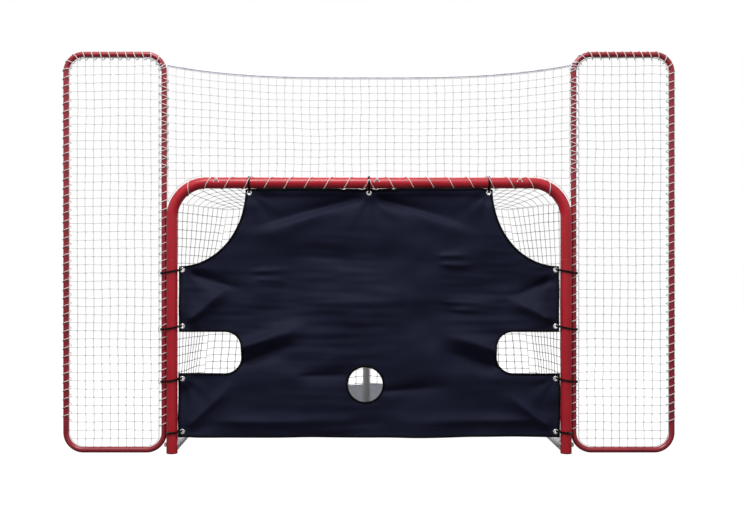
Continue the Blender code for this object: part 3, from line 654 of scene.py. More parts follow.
def base_fasteners(label, side):
    """A domed bolt with its thread, and a chamfered nut on the outside of the post."""
    origin = Vector((side * POST_X, GOAL_Y, BOLT_Z))
    out = X_AXIS * side
    seat = POST_R + GAP
    head = [(-seat - BOLT_HEAD_H * sin(angle), BOLT_HEAD_R * cos(angle))
            for angle in steps(pi / 2, 0, 6)]
    shank = [(-seat, BOLT_R), (seat, BOLT_R)]
    turns = steps(seat, seat + NUT_H + BOLT_TAIL, 12)
    thread = [(place, BOLT_R - THREAD_DEPTH * (index % 2)) for index, place in enumerate(turns)]
    profile = head + shank + thread + [(turns[-1], 0)]
    bolt = add_turned(label + "_bolt", origin, out, Z_AXIS, profile, STEEL, 24)
    keep(bolt, "goal", "zinc_steel", label + "_base_bolt")
    end = seat + NUT_H
    narrow = NUT_R - NUT_CHAMFER
    nut = [(seat, BOLT_R), (seat, narrow), (seat + NUT_CHAMFER, NUT_R), (end - NUT_CHAMFER, NUT_R),
           (end, narrow), (end, BOLT_R)]
    hexagon = add_turned(label + "_nut", origin, out, Z_AXIS, nut, STEEL, 6, smooth=False)
    keep(hexagon, "goal", "zinc_steel", label + "_base_nut")


def rail_path(front):
    """The rails' line: from a place on the left one, round the rear, to the same place on the right."""
    corners = ((-POST_X, front), (-POST_X, REAR_Y), (POST_X, REAR_Y), (POST_X, front))
    return rounded_path([Vector((x, y, BASE_R)) for x, y in corners], BASE_CORNER_R, 24)


def back_bar_path():
    start = Vector((0, GOAL_Y, CROSSBAR_Z - BACK_BAR_DROP))
    shoulder = Vector((0, GOAL_Y + SHOULDER_DEPTH, SHOULDER_Z))
    behind_tie = start + (shoulder - start).normalized() * (TIE_REACH + TAB_SHOWS)
    return rounded_path([behind_tie, shoulder, Vector((0, REAR_Y, BASE_R))], SHOULDER_R)


def white_base():
    """The rails on the floor and the back bar."""
    bend_y = REAR_Y - BASE_CORNER_R
    for label, side in SIDES:
        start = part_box(label + "_base_rail")[0].y
        path = [Vector((side * POST_X, y, BASE_R)) for y in (start, 0, bend_y - GAP)]
        rail = add_tube(label + "_rail_tube", path, BASE_R, WHITE)
        keep(rail, "goal", "white_paint", label + "_base_rail")
    rear = add_tube("rear_rail_tube", rail_path(bend_y), BASE_R, WHITE)
    keep(rear, "goal", "white_paint", "base_rear_rail")
    path = back_bar_path()
    foot = path[-1]
    run = (foot - path[-2]).normalized()
    path[-1] = foot - run * (BASE_R - BAR_IN_RAIL)
    keep(add_tube("back_bar_tube", path, BACK_BAR_R, WHITE), "goal", "white_paint", "back_bar")
    back_bar_weld(foot, run)


def back_bar_weld(foot, run):
    """The uneven bead where the back bar meets the rear rail."""
    across = Vector((0, -run.z, run.y))
    bead = []
    for angle in angles(WELD_POINTS):
        spot = foot + (X_AXIS * cos(angle) + across * sin(angle)) * (BACK_BAR_R + WELD_PROUD)
        flat = spot - foot
        reach = Vector((0, flat.y, flat.z))
        toward = reach.dot(run)
        back = -toward + sqrt(max((BASE_R + WELD_PROUD) ** 2 - reach.length_squared + toward ** 2, 0))
        bead.append(spot - run * back)
    shares = [[1 + 0.22 * sin(index * 2.6) for index in range(WELD_POINTS)]]
    weld = add_strands("back_bar_weld", [bead], WELD_R, WHITE, 8, closed=True, shares=shares)
    keep(weld, "goal", "white_paint")


def wing_spot(side, u, z):
    return Vector((side * (WING_X + u), WING_Y, z))


def wing_path(side, *corners):
    """A line round a wing's bends, through (distance out from the inner upright, height)."""
    return rounded_path([wing_spot(side, u, z) for u, z in corners], WING_CORNER_R)


def wing_tubes(label, side):
    """The two hoops of a wing, which meet half way up."""
    hoops = (("upper", WING_JOINT_Z + GAP, WING_TOP_Z), ("lower", WING_JOINT_Z, WING_R))
    for name, joint_z, end_z in hoops:
        path = wing_path(side, (0, joint_z), (0, end_z), (WING_WIDTH, end_z), (WING_WIDTH, joint_z))
        hoop = add_tube(f"{label}_{name}_hoop_tube", path, WING_R, SHADED_WING_RED, sides=28)
        keep(hoop, label + "_wing", "red_paint", f"{label}_wing_{name}_hoop")


def add_knots(name, places, material):
    """Small lumps, longer along one diagonal, at the crossings of a net."""
    ring, rows = 6, 3
    points, faces = [], []
    for number, (place, across, up) in enumerate(places):
        out = across.cross(up).normalized()
        turn = radians(38 + 24 * sin(number * 1.7))
        long_way = across * cos(turn) + up * sin(turn)
        short_way = out.cross(long_way).normalized()
        start = len(points)
        points.append(place - long_way * KNOT.x)
        for row in range(rows):
            polar = pi * (row + 1) / (rows + 1)
            along, wide = -cos(polar) * KNOT.x, sin(polar)
            for angle in angles(ring):
                points.append(place + long_way * along + (short_way * (KNOT.y * cos(angle))
                                                          + out * (KNOT.z * sin(angle))) * wide)
        points.append(place + long_way * KNOT.x)
        last = len(points) - 1
        faces += ring_faces(rows, ring, start + 1)
        for index in range(ring):
            after = (index + 1) % ring
            faces.append((start, start + 1 + after, start + 1 + index))
            faces.append((last - ring + index, last - ring + after, last))
    return add_mesh(name, points, faces, material)


def add_net(name, place, columns, rows, body, node, wander=NET_WANDER, seed=0.0, more=(),
            border=BORDER_SHARE):
    """A knotted net through place(u, v), with its own cord round its border, and more loose strands."""
    def spot(i, j):
        u, v = i / columns, j / rows
        edge = min(u * columns, (1 - u) * columns, v * rows, (1 - v) * rows)
        point = place(u, v)
        drift = noise.noise_vector(point * NET_DRIFT_RATE + Vector((seed, 3.1, 0))) * wander
        shake = noise.noise_vector(point * NET_SHAKE_RATE + Vector((0, seed, 7.7))) * wander
        return point + (drift + shake * NET_SHAKE_SHARE) * min(edge * 0.6, 1)

    lines, shares = [], []
    for j in range(rows + 1):
        lines.append([spot(i / 2, j) - Z_AXIS * (0.0008 * (i % 2)) for i in range(2 * columns + 1)])
        shares.append([border if j in (0, rows) else 1] * len(lines[-1]))
    for i in range(columns + 1):
        lines.append([spot(i, j / 2) for j in range(2 * rows + 1)])
        shares.append([border if i in (0, columns) else 1] * len(lines[-1]))
    for line in more:
        lines.append(line)
        shares.append([1] * len(line))
    mesh = add_strands(name, lines, TWINE_R, NETTING, 6, shares=shares)
    keep(mesh, body, "white_netting", node)
    places = []
    for j in range(1, rows):
        for i in range(1, columns):
            across = (spot(i + 0.5, j) - spot(i - 0.5, j)).normalized()
            up = (spot(i, j + 0.5) - spot(i, j - 0.5)).normalized()
            places.append((spot(i, j), across, up))
    keep(add_knots(name + "_knots", places, NETTING), body, "white_netting")


def wing_net(label, side):
    """The net in a wing's hoops, drawn in round their bends."""
    edge = WING_R + GAP + STRAND / 2
    clear_r = WING_CORNER_R - edge - STRAND / 2
    low_u, high_u = WING_NET_INSET, WING_WIDTH - edge
    low_z, high_z = WING_R + edge, WING_TOP_Z - edge

    def place(share_u, share_v):
        u = low_u + (high_u - low_u) * share_u
        z = low_z + (high_z - low_z) * share_v
        middle_u = min(max(u, WING_CORNER_R), WING_WIDTH - WING_CORNER_R)
        middle_z = min(max(z, WING_R + WING_CORNER_R), WING_TOP_Z - WING_CORNER_R)
        away = Vector((u - middle_u, z - middle_z))
        if away.x and away.y and away.length > clear_r:
            away = away.normalized() * clear_r
        return wing_spot(side, middle_u + away.x, middle_z + away.y)

    columns = round((high_u - low_u) / MESH)
    rows = round((high_z - low_z) / MESH)
    add_net(f"{label}_wing_netting", place, columns, rows, label + "_wing", f"{label}_wing_net",
            seed=side * 4.0)


def coil(route, stops, toward, radius, lobe, per_turn=16, hand=1):
    """A cord wound round a route. stops are (distance, turns so far); the lobe reaches towards the net."""
    points = []
    for (start, turns), (end, more) in zip(stops, stops[1:]):
        count = max(int(abs(more - turns) * per_turn), 2)
        parts = steps(0, 1, count)
        for part in parts if end == stops[-1][0] else parts[:-1]:
            place, along = route.at(start + (end - start) * part)
            angle = tau * (turns + (more - turns) * part)
            reach = radius + lobe * max(cos(angle), 0) ** 1.2
            inward = toward(place, along)
            points.append(place + (inward * cos(angle)
                                   + along.cross(inward) * (hand * sin(angle))) * reach)
    return points


def tie_height(z, side_x):
    """A side tie's height at a distance from the middle."""
    if z == SIDE_TIE_HEIGHTS[0]:
        return z - 0.5 * TIE_SLOPE * (side_x - TARGET_HALF_WIDTH)
    return z - TIE_SLOPE * (side_x - TARGET_HALF_WIDTH)


def wing_lacing(label, side):
    """The cord that binds a wing's net to its hoops, and passes outside the ties."""
    route = Route(wing_path(side, (WING_WIDTH, WING_LACE_OUTER_Z), (WING_WIDTH, WING_TOP_Z),
                            (0, WING_TOP_Z), (0, WING_LACE_INNER_Z)))
    middle = wing_spot(side, WING_WIDTH / 2, WING_TOP_Z / 2)

    def toward(place, along):
        way = Vector((along.z, 0, -along.x))
        return way if way.dot(middle - place) > 0 else -way

    stops = [(0.0, 0.0)]
    marks = [route.length - (tie_height(z, WING_X) - WING_LACE_INNER_Z) for z in SIDE_TIE_HEIGHTS[:0:-1]]
    for mark in marks:
        before, turns = stops[-1]
        turns += round((mark - before) / WING_LACE_PITCH)
        stops += [(mark - LACE_PAST_TIE, turns), (mark + LACE_PAST_TIE, turns)]
    before, turns = stops[-1]
    stops.append((route.length, turns + (route.length - before) / WING_LACE_PITCH))
    near_r = WING_R + WING_LACE_R + 0.0002
    line = coil(route, stops, toward, near_r, WING_LACE_LOBE)
    lace = add_strands(f"{label}_wing_lacing", [line], WING_LACE_R, LACE, 8)
    keep(lace, label + "_wing", "white_netting")
    high_z = WING_TOP_Z - WING_CORNER_R - BACKSTOP_LACE_DROP
    inner = Route([wing_spot(side, 0, z) for z in (CROSSBAR_Z + BACKSTOP_LACE_RISE, high_z)])
    turns = round(inner.length / WING_LACE_PITCH)
    over_r = near_r + 2 * WING_LACE_R + 0.0003
    line = coil(inner, [(0.0, 0.25), (inner.length, 0.25 + turns)], lambda place, along: X_AXIS * -side,
                over_r, 0.001, hand=-1)
    second = add_strands(f"{label}_backstop_lacing", [line], WING_LACE_R, LACE, 8)
    keep(second, label + "_wing", "white_netting")


def crossbar_profile(x, offset):
    beyond = max(abs(x) - LEG_X, 0)
    return LEG_TOP_Z + sqrt((CORNER_R + offset) ** 2 - beyond ** 2)


def rope_height(x):
    share = abs(x / WING_X)
    return ROPE_Z + ROPE_SAG * share ** 3 + ROPE_MIDDLE_RISE * (1 - share) + ROPE_END_RISE * share


def backstop_corners(half, columns, lift):
    """Strands that fill the corners beside the crossbar's bends, below the straight rows."""
    lines = []
    for side in (-1, 1):
        def bend(x):
            low = crossbar_profile(x, lift + NET_OVER_BEND * ease((x - LEG_X) / 0.03))
            return Vector((side * x, WING_Y, low))

        places = steps(-half, half, columns)
        for x in [x for x in places if x > LEG_X]:
            lines.append([bend(x), Vector((side * x, WING_Y, CROSSBAR_Z + lift))])
        edge = [bend(x) for x in steps(LEG_X, half, 14)]
        lines.append(edge)
        for drop in range(1, 5):
            z = CROSSBAR_Z + lift - drop * BACKSTOP_MESH
            start = next((point for point in edge if point.z < z), None)
            if start:
                lines.append([Vector((start.x, WING_Y, z)), Vector((side * half, WING_Y, z))])
    return lines


def backstop():
    """The net above the crossbar, and the laid rope it hangs from."""
    half = WING_X - WING_R - 0.0005 - STRAND
    lift = sqrt(BORDER_R ** 2 - (WING_Y - GOAL_Y) ** 2)
    foot = CROSSBAR_Z + lift

    def place(u, v):
        x = -half + 2 * half * u
        high = rope_height(x) - ROPE_R - GAP - STRAND / 2
        return Vector((x, WING_Y, foot + (high - foot) * v))

    columns = round(2 * half / MESH)
    rows = round((rope_height(0) - foot) / BACKSTOP_MESH)
    add_net("backstop_netting", place, columns, rows, "goal", "backstop_net", seed=2.0,
            more=backstop_corners(half, columns, lift))
    line = Route([Vector((x, WING_Y, rope_height(x))) for x in steps(-ROPE_END_X, ROPE_END_X, 420)])
    rope = add_rope("backstop_rope_laid", line, ROPE_R, ROPE)
    keep(rope, "goal", "pale_rope", "backstop_rope")
    rope_lashings()


def rope_lashings():
    """The turns that tie each end of the rope round the bend of a wing's tube, and turn with the wing."""
    for label, side in SIDES:
        route = Route(wing_path(side, (0, WING_JOINT_Z), (0, WING_TOP_Z), (WING_WIDTH, WING_TOP_Z)))
        bend = WING_TOP_Z - WING_CORNER_R - WING_JOINT_Z
        line = coil(route, [(bend + LASHING_START, 0.0), (bend + LASHING_END, LASHING_TURNS)],
                    lambda place, along: Y_AXIS, WING_R + LASHING_R + 0.0006, 0.0)
        lashing = add_strands(f"{label}_rope_lashing", [line], LASHING_R, ROPE, 10)
        keep(lashing, label + "_wing", "pale_rope")


def add_rope(name, route, radius, material, lay=0.034, spacing=0.0026, sides=18):
    """Three-strand laid rope: a lobed section that turns along the route."""
    count = int(route.length / spacing)
    points = []
    side = None
    for index in range(count + 1):
        distance = route.length * index / count
        place, along = route.at(distance)
        side = (side or along.cross(X_AXIS if abs(along.x) < 0.9 else Z_AXIS))
        side = (side - along * side.dot(along)).normalized()
        across = along.cross(side)
        twist = tau * distance / lay
        for angle in angles(sides):
            lobe = abs(cos(1.5 * angle))
            reach = radius * (0.70 + 0.30 * lobe ** 0.55)
            points.append(place + (side * cos(angle + twist) + across * sin(angle + twist)) * reach)
    faces = ring_faces(count + 1, sides)
    faces.append(tuple(range(sides))[::-1])
    faces.append(tuple(range(count * sides, (count + 1) * sides)))
    return add_mesh(name, points, faces, material)


def rail_route():
    """The line the goal's net is laced along: left rail, rear rail and right rail."""
    return Route(rail_path(GOAL_Y + POST_R + BASE_LACE_START))


def net_over_shoulder():
    """Where the net passes the back bar's bend: above it, outside it and behind it."""
    bar = Route(back_bar_path())
    clear = BACK_BAR_R + NET_OVER_BAR
    shoulder = Vector((0, GOAL_Y + SHOULDER_DEPTH, SHOULDER_Z))
    near = min(range(len(bar.points)), key=lambda index: (bar.points[index] - shoulder).length)
    places = []
    for index in (1, near, len(bar.points) - 2):
        place, along = bar.at(bar.marks[index])
        places.append(place + Vector((0, -along.z, along.y)) * clear)
    return places


def mirror(point, side):
    """A point on the left, or its twin on the right."""
    return Vector((point.x * -side, point.y, point.z))


def drawn_in(share, near):
    """How the tight net pulls its rear corner off a straight line, at a height, near the corner."""
    forward = 4 * share * (1 - share) + 0.5 * share ** 2
    return Vector((NET_BOW_INWARD * share, -NET_BOW_FORWARD * forward, 0)) * near


def pull(u, share, near=1.0):
    return mirror(drawn_in(share, abs(2 * u - 1) ** 2.2 * near), -1 if u < 0.5 else 1)


def across(end, middle, u):
    """A point on the two lines from the middle to both ends."""
    point = middle.lerp(end, abs(2 * u - 1))
    return mirror(point, -1 if u < 0.5 else 1)


def rear_corner_mark(rail):
    """How far along the rails the left rear corner's middle is."""
    return rail.length / 2 - (POST_X - BASE_CORNER_R) - BASE_CORNER_R * pi / 4


def back_net_shape():
    """The goal's back net as a function: u along the rear rail, v from there to the ridge."""
    rail = rail_route()
    mark = rear_corner_mark(rail)
    lift = Z_AXIS * (NET_FOOT_Z - BASE_R)
    ridge, behind = net_over_shoulder()[1:]
    bend_corner = (rail.at(mark)[0] + lift).lerp(LEFT_CORNER, NET_BEND_SHARE)

    def place(u, v):
        foot = rail.at(mark + (rail.length - 2 * mark) * u)[0] + lift
        foot.y += BACK_NET_OFFSET * ease(1 - abs(u - 0.5) * 2 / 0.22)
        high = across(bend_corner, behind, u)
        if v < NET_BEND_SHARE:
            point = foot.lerp(high, v / NET_BEND_SHARE)
            hang = sin(pi * abs(2 * u - 1)) * sin(pi * v / NET_BEND_SHARE)
            point.z -= BACK_NET_SAG * hang
        else:
            point = high.lerp(across(LEFT_CORNER, ridge, u), (v - NET_BEND_SHARE) / (1 - NET_BEND_SHARE))
        return point + pull(u, v)

    return place


def goal_net():
    """The sides, back and top of the goal's net, from the frame's own lines."""
    rail = rail_route()
    lift = Z_AXIS * (NET_FOOT_Z - BASE_R)
    mark = rear_corner_mark(rail)
    over, ridge = net_over_shoulder()[:2]
    front_y = GOAL_Y + BORDER_R * sin(TOP_NET_ANGLE)
    half = POST_X - 2 * STRAND
    front_z = crossbar_profile(half, BORDER_R * cos(TOP_NET_ANGLE))
    front = Vector((-POST_X, SIDE_NET_FRONT_Y, front_z - 2 * TWINE_R))
    for label, side in SIDES:
        def side_place(u, v):
            foot = rail.at(mark * u)[0] + lift
            foot.y += (SIDE_NET_FRONT_Y - rail.points[0].y) * (1 - u)
            return mirror(foot.lerp(front.lerp(LEFT_CORNER, u), v) + drawn_in(v, u ** 1.5), side)

        rows = round((NET_CORNER.z - NET_FOOT_Z) / MESH)
        add_net(f"{label}_side_netting", side_place, SIDE_COLUMNS, rows, "goal", f"{label}_side_net",
                seed=5.0 + side, border=SEAM_SHARE)
    add_net("back_netting", back_net_shape(), NET_COLUMNS, BACK_ROWS, "goal", "back_net",
            wander=0.007, seed=9.0, border=SEAM_SHARE)
    turn = (over.y - front_y) / (ridge.y - front_y)
    raised = Z_AXIS * (2 * TWINE_R)

    def top_place(u, v):
        x = -half + 2 * half * u
        start = Vector((x, front_y, crossbar_profile(x, BORDER_R * cos(TOP_NET_ANGLE))))
        rear = across(LEFT_CORNER, ridge, u) + raised
        flat = start.lerp(rear, v)
        bar_share = 1 - abs(2 * u - 1)
        hump = (over + raised - start.lerp(ridge + raised, turn)).z
        bend = v / turn if v < turn else (1 - v) / (1 - turn)
        flat.z += hump * bend * bar_share ** 2
        return flat + pull(u, 1.0, v ** 1.5)

    add_net("top_netting", top_place, NET_COLUMNS, TOP_ROWS, "goal", "top_net",
            wander=0.006, seed=13.0, border=SEAM_SHARE)


def base_lacing():
    """The cord that binds the goal's net to the rails, pressed flat where it meets the floor."""
    rail = rail_route()
    stops = [(0.0, 0.0), (rail.length, rail.length / BASE_LACE_PITCH)]
    line = coil(rail, stops, lambda place, along: Z_AXIS, BASE_R + BASE_LACE_AWAY, BASE_LACE_LOBE, 12)
    for point in line:
        point.z = max(point.z, BASE_LACE_LOW_Z)
    keep(add_strands("base_lacing", [line], BASE_LACE_R, LACE, 6), "goal", "white_netting")


def net_hooks():
    """Wire hooks welded behind the posts, which hold the side nets' front borders."""
    for label, side in SIDES:
        lines = []
        for z in HOOK_HEIGHTS:
            start = Vector((side * (POST_X - 0.004), GOAL_Y + POST_R - 0.001, z))
            border = Vector((side * POST_X, SIDE_NET_FRONT_Y, z))
            hook = [start, start.lerp(border, 0.4) + Vector((side * -0.003, 0, -0.001))]
            for angle in steps(-150, 60, 8):
                turn = radians(angle)
                hook.append(border + Vector((side * sin(turn), cos(turn), 0)) * HOOK_R)
            lines.append(hook)
        keep(add_strands(f"{label}_net_hooks", lines, HOOK_WIRE_R, STEEL, 8), "goal", "zinc_steel")


def skirt():
    """The cloth strip inside the back net, in soft hanging folds, with its hem."""
    back_net = back_net_shape()
    ridge_z = net_over_shoulder()[2].z
    places = steps(-SKIRT_HALF_WIDTH, SKIRT_HALF_WIDTH, SKIRT_COLUMNS)
    points = []

    def net_line(share):
        """The back net's line at a height."""
        height = (SKIRT_TOP_Z - RAIL_TOP_Z) * share / (ridge_z - NET_FOOT_Z)
        return [back_net(u, NET_BEND_SHARE * height) for u in steps(0, 1, 120)]

    def spot(x, share, line):
        after = next(index for index, point in enumerate(line) if point.x >= x)
        low, high = line[after - 1], line[after]
        net_y = low.lerp(high, (x - low.x) / (high.x - low.x)).y
        sag = SKIRT_SAG * sin(x * 23) * share
        z = RAIL_TOP_Z + 2 * GAP + (SKIRT_TOP_Z + sag - RAIL_TOP_Z) * share
        fold = SKIRT_FOLD * (1 - cos(tau * x / SKIRT_FOLD_LENGTH)) / 2
        fold += SKIRT_RIPPLE * sin(x * 61 + 2 * share) * share
        return Vector((x, net_y - SKIRT_FROM_NET - SKIRT_SLACK * share - fold, z))

    for share in steps(0, 1, SKIRT_ROWS):
        line = net_line(share)
        points += [spot(x, share, line) for x in places]
    cloth = add_mesh("skirt_cloth", points, grid_faces(SKIRT_ROWS, SKIRT_COLUMNS), GREY)
    thicken(cloth, SKIRT_CLOTH_T)
    keep(cloth, "goal", "grey_cloth", "skirt")
    hem = []
    for share in (0.985, 0.90):
        line = net_line(share)
        hem.append([spot(x, share, line) - Y_AXIS * SKIRT_SEAM_R for x in places])
    seams = add_strands("skirt_hem", hem, SKIRT_SEAM_R, GREY, 6)
    keep(seams, "goal", "grey_cloth")


def tie_places():
    """Each eyelet's name and place, and the side it ties to (0 for the crossbar)."""
    places = []
    for label, x in (("left", -TOP_TIE_X), ("middle", 0), ("right", TOP_TIE_X)):
        places.append((f"top_{label}", x, TARGET_TOP_Z - EYELET_EDGE, 0))
    for label, side in SIDES:
        for number, z in enumerate(SIDE_TIE_HEIGHTS, 1):
            places.append((f"{label}_{number}", side * (TARGET_HALF_WIDTH - EYELET_EDGE), z, side))
    return places


EYELET_SPOTS = [place[1:3] for place in tie_places()]

# Creases of the cloth: from and to (x, z), half width, and depth towards the shooter
CREASES = (
    ((-0.03, 1.168), (-0.452, 1.050), 0.026, -0.0170), ((0.03, 1.166), (0.400, 1.052), 0.026, -0.0165),
    ((-0.20, 1.095), (-0.480, 1.000), 0.034, 0.0110), ((0.20, 1.098), (0.440, 1.005), 0.034, 0.0110),
    ((-0.836, 0.585), (-0.660, 0.735), 0.024, 0.0170), ((-0.840, 0.828), (-0.600, 0.750), 0.024, -0.0130),
    ((0.850, 0.800), (0.650, 0.708), 0.024, -0.0140), ((0.850, 0.592), (0.660, 0.690), 0.024, 0.0170),
    ((-0.605, 0.474), (-0.350, 0.553), 0.030, 0.0210), ((-0.600, 0.398), (-0.373, 0.485), 0.028, -0.0150),
    ((0.590, 0.464), (0.373, 0.532), 0.030, 0.0180), ((0.585, 0.385), (0.384, 0.452), 0.028, -0.0140),
    ((-0.835, 0.112), (-0.650, 0.285), 0.020, 0.0140), ((0.838, 0.110), (0.660, 0.240), 0.020, 0.0140),
    ((-0.640, 0.148), (-0.150, 0.142), 0.024, 0.0110), ((0.720, 0.150), (0.240, 0.146), 0.024, 0.0110),
    ((0.320, 0.897), (0.430, 0.900), 0.012, 0.0060), ((0.330, 0.858), (0.450, 0.854), 0.012, 0.0060),
    ((0.345, 0.688), (0.530, 0.682), 0.013, 0.0065), ((0.390, 0.652), (0.540, 0.645), 0.013, 0.0060),
    ((-0.520, 0.826), (-0.380, 0.832), 0.013, 0.0055), ((-0.510, 0.790), (-0.400, 0.786), 0.012, 0.0050),
    ((-0.300, 0.352), (-0.100, 0.358), 0.022, -0.0110), ((0.060, 0.282), (0.300, 0.300), 0.022, -0.0115),
    ((-0.250, 0.680), (0.260, 0.700), 0.050, 0.0110), ((-0.300, 0.890), (0.280, 0.870), 0.055, -0.0100),
)

# Soft folds all over it: depth, noise rate across and up, and noise layer
FOLDS = ((0.030, 2.0, 2.9, 0.4), (0.012, 4, 6, 1.7), (0.0048, 8, 15, 2.4))


def eyelet_fans(x, z):
    """Small folds that spread out from each eyelet, and the distance to the nearest one."""
    total, nearest = 0.0, 9.0
    for number, (place_x, place_z) in enumerate(EYELET_SPOTS):
        away = hypot(x - place_x, z - place_z)
        nearest = min(nearest, away)
        if away < 5 * FAN_REACH:
            turn = atan2(z - place_z, x - place_x)
            waver = 1.6 * noise.noise(Vector((x * 9, z * 9, number * 3.7)))
            swell = away / FAN_REACH * exp(1 - away / FAN_REACH)
            total += FAN_DEPTH * swell * sin(9 * turn + 1.3 * number + waver)
    return total, nearest


def cloth_depth(x, z):
    """How far the cloth stands towards the shooter, zero at each eyelet."""
    depth, near = eyelet_fans(x, z)
    for start, end, width, height in CREASES:
        run_x, run_z = end[0] - start[0], end[1] - start[1]
        length = hypot(run_x, run_z)
        along = ((x - start[0]) * run_x + (z - start[1]) * run_z) / length ** 2
        off = ((x - start[0]) * -run_z + (z - start[1]) * run_x) / length
        if -0.4 < along < 1.5 and abs(off) < 6 * width:
            fade = ease((along + 0.25) / 0.50) * ease((1.45 - along) / 0.80)
            spread = CREASE_WIDTH * width * (0.6 + 0.7 * max(along, 0))
            depth += CREASE_SHARE * height * fade * exp(-(off ** 2 / spread ** 2 + 0.02) ** 0.72)
    for height, rate_x, rate_z, layer in FOLDS:
        depth += height * noise.noise(Vector((x * rate_x, z * rate_z, layer)))
    patch = ease(0.6 + 1.6 * noise.noise(Vector((x * 2.3, z * 2.3, 8.1))))
    depth += RIPPLE_DEPTH * patch * noise.noise(Vector((x * 5, z * 34, 5.2)))
    depth += HEM_LEAN * ease((z - TARGET_TOP_Z + HEM) / HEM)
    return depth * ease((near - EYELET_R) / 0.06)


def cloth_point(x, z, lift=0.0):
    return Vector((x, GOAL_Y - cloth_depth(x, z) - lift, z))


def target_outline():
    """The sheet's edge, anticlockwise, bowed a little towards the posts and the crossbar."""
    def arc(u, v, radius_u, radius_v, start, end, count):
        return [(u + radius_u * cos(radians(a)), v + radius_v * sin(radians(a)))
                for a in steps(start, end, count)]

    def bow(x, low, high, depth, count):
        return [(x + depth * (0.8 + 0.2 * sin(pi * share)), low + (high - low) * share)
                for share in steps(0, 1, count)]

    inner = SIDE_HOLE_X + SIDE_HOLE_R
    right = arc(TARGET_HALF_WIDTH, TARGET_TOP_Z, TARGET_HALF_WIDTH - TARGET_TOP_HALF,
                TARGET_TOP_Z - TARGET_CORNER_Z, 180, 270, 60)
    right += bow(TARGET_HALF_WIDTH, TARGET_CORNER_Z, SIDE_HOLE_HIGH_Z, 0.0015, 36)[1:]
    flat = steps(TARGET_HALF_WIDTH, inner, 24)
    right += [(x, SIDE_HOLE_HIGH_Z) for x in flat[1:-1]]
    right += arc(inner, SIDE_HOLE_HIGH_Z - SIDE_HOLE_R, SIDE_HOLE_R, SIDE_HOLE_R, 90, 180, 16)
    right += arc(inner, SIDE_HOLE_LOW_Z + SIDE_HOLE_R, SIDE_HOLE_R, SIDE_HOLE_R, 180, 270, 16)
    right += [(x, SIDE_HOLE_LOW_Z) for x in flat[-2:0:-1]]
    right += bow(TARGET_HALF_WIDTH, SIDE_HOLE_LOW_Z, TARGET_BOTTOM_Z, LOWER_EDGE_OUT, 36)
    left = [(-x, z) for x, z in reversed(right)]
    half_bottom = TARGET_HALF_WIDTH + 0.8 * LOWER_EDGE_OUT
    bottom = [(half_bottom * (1 - 2 * share), TARGET_BOTTOM_Z - 0.003 * sin(pi * share))
              for share in steps(0, 1, 180)[1:-1]]
    top = [(x, TARGET_TOP_Z + top_edge_rise(x))
           for x in steps(-TARGET_TOP_HALF, TARGET_TOP_HALF, 300)[1:-1]]
    return (right + bottom + left + top)[::-1]


def top_edge_rise(x):
    """How far the cloth's top edge rises, clear of the crossbar and of the lacing's turns round it."""
    depth = cloth_depth(x, TARGET_TOP_Z)

    def room(radius):
        return CROSSBAR_Z - TARGET_TOP_Z - 2 * BIND_T - sqrt(max(radius ** 2 - depth ** 2, 0))

    pitch = lace_pitch()
    lean = asin(min(max(depth / LACE_CLEAR_R, -1), 1))
    turn = abs(x) / pitch - (pi - lean - LACE_PHASE) / tau
    away = abs(turn - round(turn)) * pitch
    rise = room(LACE_CLEAR_R) + (room(BAR_CLEAR_R) - room(LACE_CLEAR_R)) * ease((away - 0.004) / 0.012)
    return min(rise, TOP_EDGE_RISE) * ease((TARGET_TOP_HALF - abs(x)) / 0.012)


def lace_pitch():
    return TOP_TIE_X / round(TOP_TIE_X / LACE_PITCH)


def circle(x, z, radius, count):
    return [(x + radius * cos(angle), z + radius * sin(angle)) for angle in angles(count)]


def cloth_triangles(outline, holes):
    """Fills an outline round its holes. Gives the flat points, and the triangles that stay."""
    flat = [Vector(point) for point in outline]
    edges = [(index, (index + 1) % len(outline)) for index in range(len(outline))]
    for x, z, radius, count in holes:
        start = len(flat)
        flat += [Vector(point) for point in circle(x, z, radius, count)]
        edges += [(start + index, start + (index + 1) % count) for index in range(count)]
    tree = KDTree(len(flat))
    for index, point in enumerate(flat):
        tree.insert((point.x, point.y, 0), index)
    tree.balance()
    row_height = CLOTH_GRID * sqrt(0.75)
    for row in range(1, int((TARGET_TOP_Z - TARGET_BOTTOM_Z) / row_height)):
        z = TARGET_BOTTOM_Z + row * row_height
        for column in range(int(-TARGET_HALF_WIDTH / CLOTH_GRID), int(TARGET_HALF_WIDTH / CLOTH_GRID) + 1):
            x = (column + 0.5 * (row % 2)) * CLOTH_GRID
            if tree.find((x, z, 0))[2] > 0.6 * CLOTH_GRID:
                flat.append(Vector((x, z)))
    found = delaunay_2d_cdt(flat, edges, [list(range(len(outline)))], 1, 1e-7)
    places, triangles = found[0], found[2]
    kept = []
    for face in triangles:
        middle = sum((places[index] for index in face), Vector((0, 0))) / len(face)
        if all(hypot(middle.x - x, middle.y - z) > radius for x, z, radius, count in holes):
            kept.append(tuple(face))
    return places, kept


